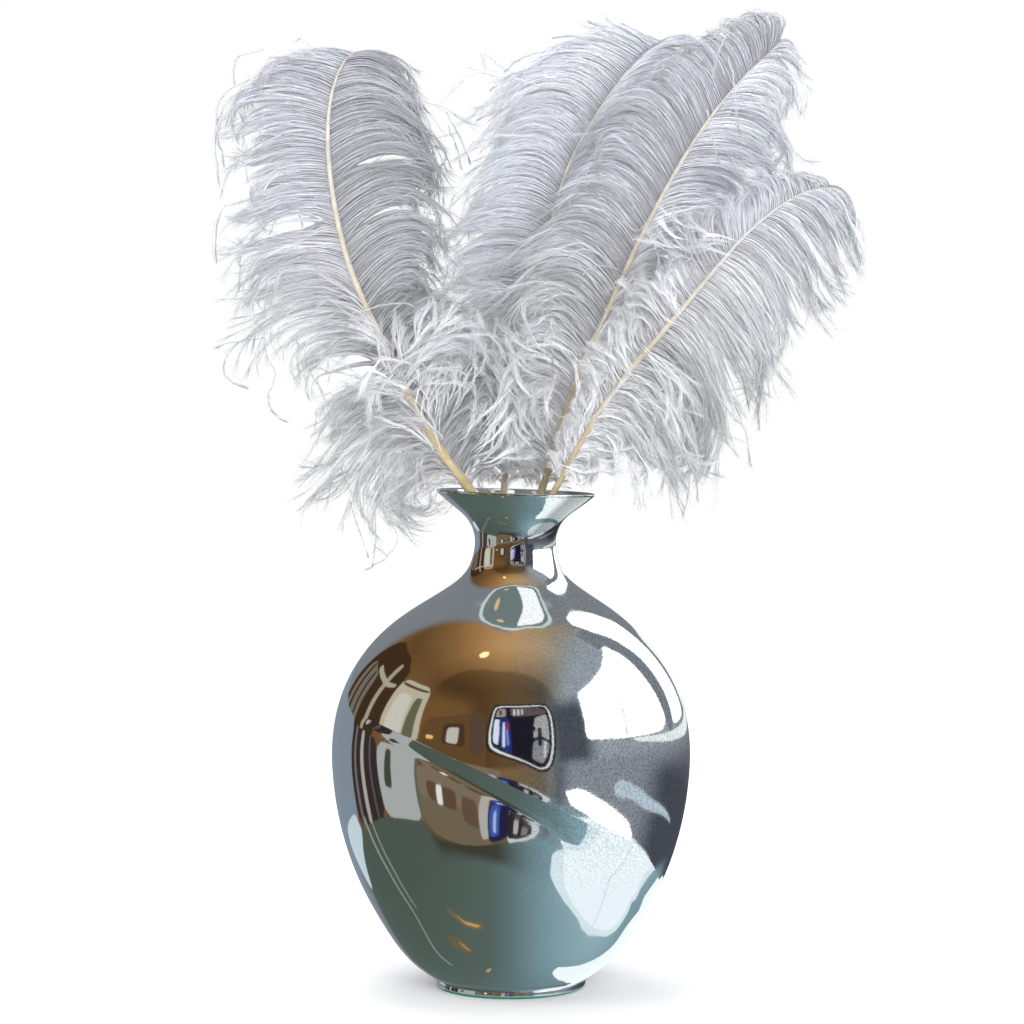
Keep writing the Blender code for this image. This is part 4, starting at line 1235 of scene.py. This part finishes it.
# soft patches on walls and ceiling: colour, then the stretches over which each comes in or goes
ROOM_PATCHES = [
    # wall on the left
    ((110, 79, 46), [("lift", 48, 32), ("across", -0.25, -0.5)]),
    # shaded wall right of the dark window
    ((72, 75, 84), [("turn", 22, 32), ("turn", 60, 46), ("lift", 44, 30)]),
    # board beneath the window's sill, and its shaded end
    ((130, 134, 143), [("turn", 26, 40), ("lift", 3, -3)]),
    ((68, 71, 80), [("turn", 84, 118), ("lift", -1, -10)]),
    # far side of the room
    ((119, 124, 129), [("turn", 126, 140), ("lift", -2, 8), ("lift", 80, 66)]),
    ((119, 124, 129), [("turn", -136, -146), ("lift", 88, 80)]),
]
TABLE = [  # across, colour
    (-0.85, (74, 85, 77)), (-0.2, (84, 98, 93)), (0.0, (93, 113, 115)), (0.18, (110, 133, 140)),
    (0.35, (121, 149, 158)), (0.6, (142, 169, 178))]
TABLE_NEAR = (-26, -52)  # lift
TABLE_BEND = 0.2  # towards its far edge its colours lie this much further right
TABLE_BENDS = (-0.1, 0.2)  # across
TABLE_SHADE = ((60, 60, 50), [("turn", -58, -48), ("turn", 16, -8), ("lift", -40, -29)])
TABLE_EDGE = [  # turn, lift
    (-180, -26), (-150, -25), (-123, -20), (-58, -19), (-53, -22), (-48, -26), (-33, -27), (-10, -23),
    (8, -19), (23, -17), (36, -20), (60, -25), (100, -27), (128, -27), (140, -22), (150, -19), (180, -15)]
WINDOW = (255, 255, 255, 1.5)
# flat shapes before the dome, the later ones nearer: corners (turn, lift) and colour
ROOM_CARDS = [
    # the window's two panes, the mullion between them and the sill
    ([(49, 11), (68, 9), (121, 4), (121, 25), (123, 37), (120, 48), (101, 47), (78, 45), (54, 41),
      (51, 29)], WINDOW),
    ([(122, 1), (131, 4), (136, 28), (134, 52), (120, 60), (112, 50), (121, 46), (123, 37), (121, 14)],
      (116, 122, 130)),
    ([(130, 3), (133, 11), (135, 28), (134, 39), (131, 49), (133, 57), (140, 57), (146.2, 51),
      (149.4, 40), (151, 33), (154, 26), (154, 19), (153, 10), (154, 0)], WINDOW),
    ([(158, 12), (161, 12), (176, 0), (176, -4), (160, -2)], (236, 240, 241)),
    ([(84, 7), (118, 3), (154, -1), (168, -2), (168, -4), (150, -3), (118, 0), (86, 5)],
      (226, 232, 232)),
    ([(79, 9), (80.5, 9), (84, 27), (83, 27)], (190, 190, 192)),
    # its image in the glossy table top
    ([(36, -23), (36, -35), (43, -43), (54, -50), (70, -54), (88, -55), (101, -52.5), (112, -48),
      (122, -43), (132, -34), (137, -27), (130, -25.5), (100, -26), (60, -22)], (214, 228, 235)),
    ([(44, -23), (60, -22), (100, -26.5), (130, -26), (130, -32), (120, -41), (110, -46.5), (100, -50),
      (84, -52), (64, -49), (50, -40)], (234, 243, 248)),
    ([(88, -28), (88.7, -28), (99, -50), (98.2, -50)], (178, 196, 204)),
    ([(172, -12), (158, -17), (149, -22), (145, -28), (141, -36), (136, -45), (131, -53), (121, -62),
      (115, -65.5), (121, -67), (130, -66.5), (138, -64.5), (148, -60), (156, -53), (161, -44),
      (168, -33), (176, -24)], (240, 248, 249)),
    # light on the board beneath the sill
    ([(34, -14), (44, -13), (60, -17), (85, -22), (92, -25), (89, -26.5), (63, -24), (39, -19)],
      WINDOW),
    ([(68, -13), (70, -11), (74, -10), (79, -11), (101, -15), (132, -16), (135, -16.4), (98, -18),
      (81, -15.8), (75, -16), (70, -15)], (178, 192, 202)),
    # the vase's own mouth, mirrored in its shoulder
    ([(208.3, 56.2), (206.3, 61), (211, 65), (215, 69), (216, 76), (205, 82), (180, 84), (155, 83),
      (135, 77), (130, 73), (134, 68), (139, 65), (151, 61.5), (148.8, 57), (165, 54), (180, 53),
      (195, 54)], (196, 208, 206)),
    ([(206, 58), (204.3, 61.5), (209, 66), (212, 70), (212.5, 75), (202, 80.5), (180, 82), (157, 81),
      (139, 76), (134.5, 72.5), (138, 68.5), (142, 66), (153, 62), (151, 58.5), (165, 56), (180, 55),
      (195, 56)], (108, 120, 120)),
    ([(167, 60), (157, 60), (155, 62.5), (146, 66.5), (141, 70), (143, 75), (158, 79.5), (168, 80)],
      (246, 249, 250)),
    ([(203, 61), (200, 61), (200, 64), (203, 64)], (214, 166, 104)),
    ([(199, 65), (195, 65), (196, 68), (199, 68)], (222, 186, 130)),
    ([(202, 73), (194, 75), (194, 77), (202, 75)], (226, 190, 140)),
    # ceiling lamp
    ([(-57, 71.5), (-50, 70), (-43, 71.5), (-43, 74.5), (-50, 76), (-57, 74.5)], (255, 226, 160, 1.3)),
    # dark hall with a cream post, a frame and a beam, far left
    ([(-150, 2), (-95, 2), (-95, 40), (-110, 44), (-136, 38)], (62, 44, 27)),
    ([(-146, -2), (-124, -2), (-121, 26), (-138, 24)], (112, 104, 92)),
    ([(-140, -2), (-137, -2), (-133, 24), (-135, 24)], (50, 38, 26)),
    ([(-130, -2), (-128, -2), (-126, 24), (-128, 25)], (50, 38, 26)),
    ([(-113, 4), (-109, 4), (-107, 27), (-107, 39), (-111, 39), (-111, 27)], (160, 152, 134)),
    ([(-127, 26), (-106, 27), (-98, 30), (-98, 32), (-107, 29.5), (-127, 28.5)], (168, 158, 138)),
    ([(-96, 8), (-61, 6), (-65, 41), (-95, 38)], (182, 172, 150)),
    ([(-92, 10), (-76, 9), (-77, 32), (-90, 31)], (196, 192, 178)),
    ([(-75, 8), (-66, 8), (-68, 33), (-74, 32)], (96, 96, 76)),
    ([(-93, 34.5), (-67, 37), (-67, 38.5), (-93, 36)], (76, 60, 42)),
    # brown room straight ahead, left of the dark window
    ([(-60, 2), (-15, -4), (-16, 12), (-18, 31), (-30, 30), (-60, 22)], (96, 70, 42)),
    ([(-45, 9), (-29, 8), (-31, 23), (-45, 21)], (70, 50, 34)),
    ([(-42, 10), (-34, 9.5), (-34, 20), (-42, 19)], (188, 180, 172)),
    ([(-26, 5), (-17, 4), (-18, 30), (-28, 30)], (84, 66, 54)),
    ([(-56, 11), (-51, 11), (-51, 13), (-56, 13)], (240, 184, 112)),
    # the dark window with its pale rounded frame
    ([(-14, 33), (-12, 37), (-8, 38), (21, 38), (26, 37), (28.5, 33), (29.5, 26), (28.5, 8), (26.5, -1),
      (23, -5), (18, -5.5), (8, -1), (-8, 4), (-14, 6.5), (-15.5, 10), (-16, 18)], (30, 28, 30)),
    ([(-12.5, 32), (-11, 35.5), (-7, 36.8), (21, 36.8), (25.5, 35.5), (27.3, 32), (28, 26), (27, 8),
      (25, 0), (22.5, -3.5), (18, -4), (8, 0.5), (-8, 5.5), (-12.5, 8), (-14, 11), (-14.3, 18)],
      (222, 222, 222)),
    ([(-11.6, 31.6), (-10, 35.1), (-6.5, 36), (21, 36), (25, 34.8), (26.2, 31.6), (26.8, 26), (25.8, 8),
      (23.8, 0.6), (21.6, -2.6), (17.5, -3.1), (8, 1.3), (-6, 6.4), (-11.1, 8.9), (-12.6, 11.6),
      (-13, 18)], (27, 25, 36)),
    ([(-11.5, 12), (-8, 10), (-7.5, 20), (-7.5, 27), (-11, 27)], (214, 220, 238)),
    ([(-8, 28), (-1, 28), (1, 5), (-7, 8)], (34, 48, 112)),
    ([(-5.5, 25), (-4, 25), (-3.5, 9), (-5.5, 9)], (204, 212, 244)),
    ([(-3, 22), (-2, 22), (-1, 10), (-2.5, 10)], (120, 136, 206)),
    ([(-10.5, 28.5), (-3.5, 29), (-3.5, 34.5), (-8, 35), (-10, 32)], (150, 138, 142)),
    ([(-8, 30), (-6.5, 30), (-6.5, 33.5), (-8, 33.5)], (60, 52, 58)),
    ([(-3, 20), (-1.4, 20), (-1.4, 25), (-3, 25)], (150, 48, 58)),
    ([(0, 29), (24, 30), (24.5, 33), (21, 35), (-1, 35.3)], (92, 78, 78)),
    ([(1.5, 30), (3, 30), (3, 34.5), (1.5, 34.5)], (206, 202, 200)),
    ([(4.2, 30), (6, 30), (6, 34.5), (4.2, 34.5)], (196, 192, 190)),
    ([(7.2, 30.5), (8.6, 30.5), (8.6, 34.5), (7.2, 34.5)], (186, 180, 178)),
    ([(14, 14), (19, 16), (24.5, 12), (25, 26), (24, 30), (16, 28)], (158, 158, 160)),
    ([(13, 2), (20, -1), (23, 4), (24.5, 11), (19, 14), (14, 12)], (132, 132, 136)),
    ([(17, 10), (19.5, 9), (20, 21), (17.5, 21)], (40, 38, 44)),
    ([(20, 2), (21.6, 3), (22.6, 12), (21, 12)], (196, 196, 198)),
    ([(14, 19), (16, 19), (16, 22), (14, 22)], (30, 28, 36)),
    # the same room below the step: pale wall, curtains, dark window
    ([(-178, -20), (-121, -20), (-121, 7), (-150, 6), (-178, 0)], (124, 136, 148)),
    ([(-150, -15), (-125, -16), (-121, -20), (-143, -26)], (190, 206, 213)),
    ([(-121, -20), (-89, -20), (-89, 6), (-121, 6)], (50, 44, 44)),
    ([(-117, -20), (-114, -20), (-114, 6), (-117, 6)], (112, 102, 100)),
    ([(-109, -20), (-105, -20), (-104, 6), (-108, 6)], (172, 160, 154)),
    ([(-98, -20), (-96, -20), (-96, 6), (-98, 6)], (92, 82, 80)),
    ([(-89, -20), (-56, -19), (-55, 6), (-89, 6)], (164, 167, 166)),
    ([(-84, -10), (-77, -10), (-75, 4), (-80, 4)], (66, 66, 58)),
    ([(-57, -19), (-54, -19), (-53, 3), (-56, 3)], (96, 96, 78)),
    ([(-54, 3), (-54, -18), (-50, -23), (-42, -26), (-30, -27), (-18, -25.4), (-6, -22.5), (-6, -4)],
      (108, 97, 78)),
    ([(-54, 3), (-54, -8), (-30, -8), (-6, -10), (-6, -4)], (120, 106, 88)),
    ([(-48, -2), (-28, -4), (-28, -10), (-47, -8)], (92, 70, 54)),
    ([(-41, -3), (-37, -3), (-37, -9), (-41, -9)], (222, 218, 214)),
    ([(-25, -5), (-16, -7), (-14, -16), (-24, -14)], (96, 76, 62)),
    ([(-15, -6), (-9, -7), (-9, -20), (-14, -21)], (172, 168, 160)),
    ([(-9, -7), (4, -9.5), (6, -12), (7, -17), (0, -20), (-9, -22)], (34, 34, 64)),
    ([(-8, -8.5), (-1.5, -9.5), (-1.5, -18), (-8, -19)], (60, 84, 158)),
    ([(-5.5, -10), (-3.5, -10), (-3.5, -17), (-5.5, -17)], (160, 178, 222)),
    ([(4, -10), (14, -13), (24, -16.4), (25, -17.4), (22, -18.6), (12, -20), (4, -21)],
      (196, 200, 202)),
    ([(4, -10.6), (12, -13), (20, -16), (20, -17.6), (11, -18.8), (4, -19)], (44, 38, 44)),
    ([(8, -13), (11, -13.8), (11, -17), (8, -17)], (176, 170, 170)),
    ([(13.5, -15), (18, -16), (17, -17.4), (13, -17.6)], (128, 120, 116)),
    # warm lamps and curtain edges mirrored in the table
    ([(-68, -52), (-60, -58.6), (-48, -62), (-37, -64), (-37, -66), (-48, -64.5), (-60, -61.6),
      (-69, -55)], (112, 100, 74)),
    ([(-64, -55.5), (-58, -60), (-46, -63), (-40, -64.3), (-46, -64), (-58, -61)], (214, 160, 96)),
    ([(-88, -57), (-76, -61), (-68, -66.5), (-70, -69.5), (-78, -66), (-88, -61)], (106, 94, 70)),
    ([(-79, -61.5), (-74, -64), (-70, -67.6), (-75, -65.5)], (176, 136, 90)),
    ([(-124, -76), (-104, -78), (-92, -80), (-104, -80), (-124, -78)], (186, 150, 110)),
    ([(-115, -18), (-107, -32), (-106, -45), (-122, -59), (-120, -60), (-104.5, -45), (-105.5, -32),
      (-113, -18)], (138, 150, 140)),
    ([(-107, -20), (-101, -33), (-100, -45), (-98.8, -45), (-99.5, -33), (-105.5, -20)],
      (130, 142, 132)),
]


def interpolated(value, table):
    """a number or a colour picked from a table of places and what is there"""
    places, items = zip(*table)
    items = np.array(items, float).reshape(len(items), -1)
    return np.stack([np.interp(value, places, items[:, k]) for k in range(items.shape[1])], axis=-1)


def lit(table):
    """a table's screen colours as scene colours"""
    return [(place, linear(*colour)) for place, colour in table]


def painted(colour, patch, where):
    """colour with a soft patch laid over it"""
    paint, stretches = patch
    share = math.prod(smooth(low, high, where[axis]) for axis, low, high in stretches)
    return colour + (linear(*paint) - colour) * share[..., None]


def room_colour(turn, lift):
    """what the silvering sees in a direction: ceiling and walls above the table's edge, then the table"""
    across = np.sin(np.radians(turn)) * np.cos(np.radians(lift))
    forward = np.cos(np.radians(turn)) * np.cos(np.radians(lift))
    where = {"turn": turn, "lift": lift, "across": across}
    fade = interpolated(forward, CEILING_FADES)[..., 0]
    off_wall = (np.abs((turn - WALL_MIDDLE[0]) / WALL_REACH[0])**3
                + np.abs((lift - WALL_MIDDLE[1]) / WALL_REACH[1])**3)
    fade = fade * (1 - (1 - WALL_AHEAD) * smooth(*WALL_EDGE, off_wall))
    fade = fade + (1 - fade) * smooth(*FADE_ENDS, across)
    colour = interpolated(across, lit(CEILING)) * (fade**FADE_POWER)[..., None]
    for patch in ROOM_PATCHES:
        colour = painted(colour, patch, where)
    bent = TABLE_BEND * (1 - smooth(*TABLE_NEAR, lift)) * smooth(*TABLE_BENDS, across)
    table = painted(interpolated(across - bent, lit(TABLE)), TABLE_SHADE, where)
    below = smooth(1, -1, lift - interpolated(turn, TABLE_EDGE)[..., 0])
    return colour + (table - colour) * below[..., None]


def direction(turn, lift):
    turn = np.radians(turn)
    lift = np.radians(lift)
    return np.stack([np.sin(turn) * np.cos(lift), -np.cos(turn) * np.cos(lift), np.sin(lift)], axis=-1)


def room_object(name, points, quads, triangles, colours):
    """a stage object that glows in its points' colours and that only mirror rays see"""
    room = mesh_object(name, points, quads, triangles)
    paint = room.data.color_attributes.new("room_light", "FLOAT_COLOR", "POINT")
    colours = np.column_stack([colours, np.ones(len(colours))])
    paint.data.foreach_set("color", colours.astype(np.float32).ravel())
    material, tree = new_material(name)
    light = tree.nodes.new("ShaderNodeAttribute")
    light.attribute_name = "room_light"
    feed_shader(tree, Base_Color=(0, 0, 0, 1), Specular_IOR_Level=0.0,
                Emission_Color=light.outputs["Color"], Emission_Strength=1 / SILVERING[1])
    room.data.materials.append(material)
    room.visible_camera = room.visible_diffuse = room.visible_shadow = False
    room.visible_transmission = room.visible_volume_scatter = False


def make_dome():
    """walls, ceiling and table all round"""
    turn = np.linspace(-180, 180, ROOM_COLUMNS)[None, :] + np.zeros((ROOM_ROWS, 1))
    lift = np.linspace(-90, 90, ROOM_ROWS)[:, None] + np.zeros((1, ROOM_COLUMNS))
    points = ROOM_CENTRE + ROOM_RADIUS * direction(turn, lift)
    quads = net_quads(ROOM_ROWS, ROOM_COLUMNS, closed=False)
    room_object("reflected_room", points.reshape(-1, 3), quads, [], room_colour(turn, lift).reshape(-1, 3))


def rounded(corners):
    """an outline with its corners cut off"""
    after = np.roll(corners, -1, axis=0)
    cut = CORNER_CUT * (after - corners)
    return np.stack([corners + cut, after - cut], axis=1).reshape(-1, 2)


def card_mesh(corners):
    """points (turn, lift) and triangles of a card with rounded corners"""
    corners = rounded(rounded(np.array(corners, dtype=float)))
    outline = []
    for a, b in zip(corners, np.roll(corners, -1, axis=0)):
        parts = 1 + int(np.abs(b - a).max() / CARD_GRID)
        outline += [a + share / parts * (b - a) for share in range(parts)]
    low, high = corners.min(axis=0), corners.max(axis=0)
    inside = [(t, l) for t in np.arange(low[0] + 1, high[0], CARD_GRID)
              for l in np.arange(low[1] + 1, high[1], CARD_GRID)]
    places = [Vector(place) for place in outline + inside]
    places, _, triangles, *_ = delaunay_2d_cdt(places, [], [list(range(len(outline)))], 1, 1e-5)
    return np.array([tuple(place) for place in places]), np.array(triangles)


def make_cards():
    """the windows, doors and lamps of the room, each a little nearer than the one before"""
    points, triangles, colours, count = [], [], [], 0
    for layer, (corners, colour) in enumerate(ROOM_CARDS):
        flat, faces = card_mesh(corners)
        radius = ROOM_RADIUS - CARDS_INSIDE - CARD_GAP * layer
        points.append(ROOM_CENTRE + radius * direction(flat[:, 0], flat[:, 1]))
        triangles.append(count + faces)
        colours.append(np.tile(linear(*colour), (len(flat), 1)))
        count += len(flat)
    room_object("reflected_cards", np.concatenate(points), [], np.concatenate(triangles),
                np.concatenate(colours))


# ---- everything
FIRST_SEED = 11

plume = plume_material()
quill = quill_material()
Vase().build()
for number, (name, spec) in enumerate(PLUMES.items()):
    make_plume(name, spec, FIRST_SEED + number, plume, quill)
make_floor()
make_dome()
make_cards()
make_world()
for light in LIGHTS:
    make_light(*light)
make_camera()
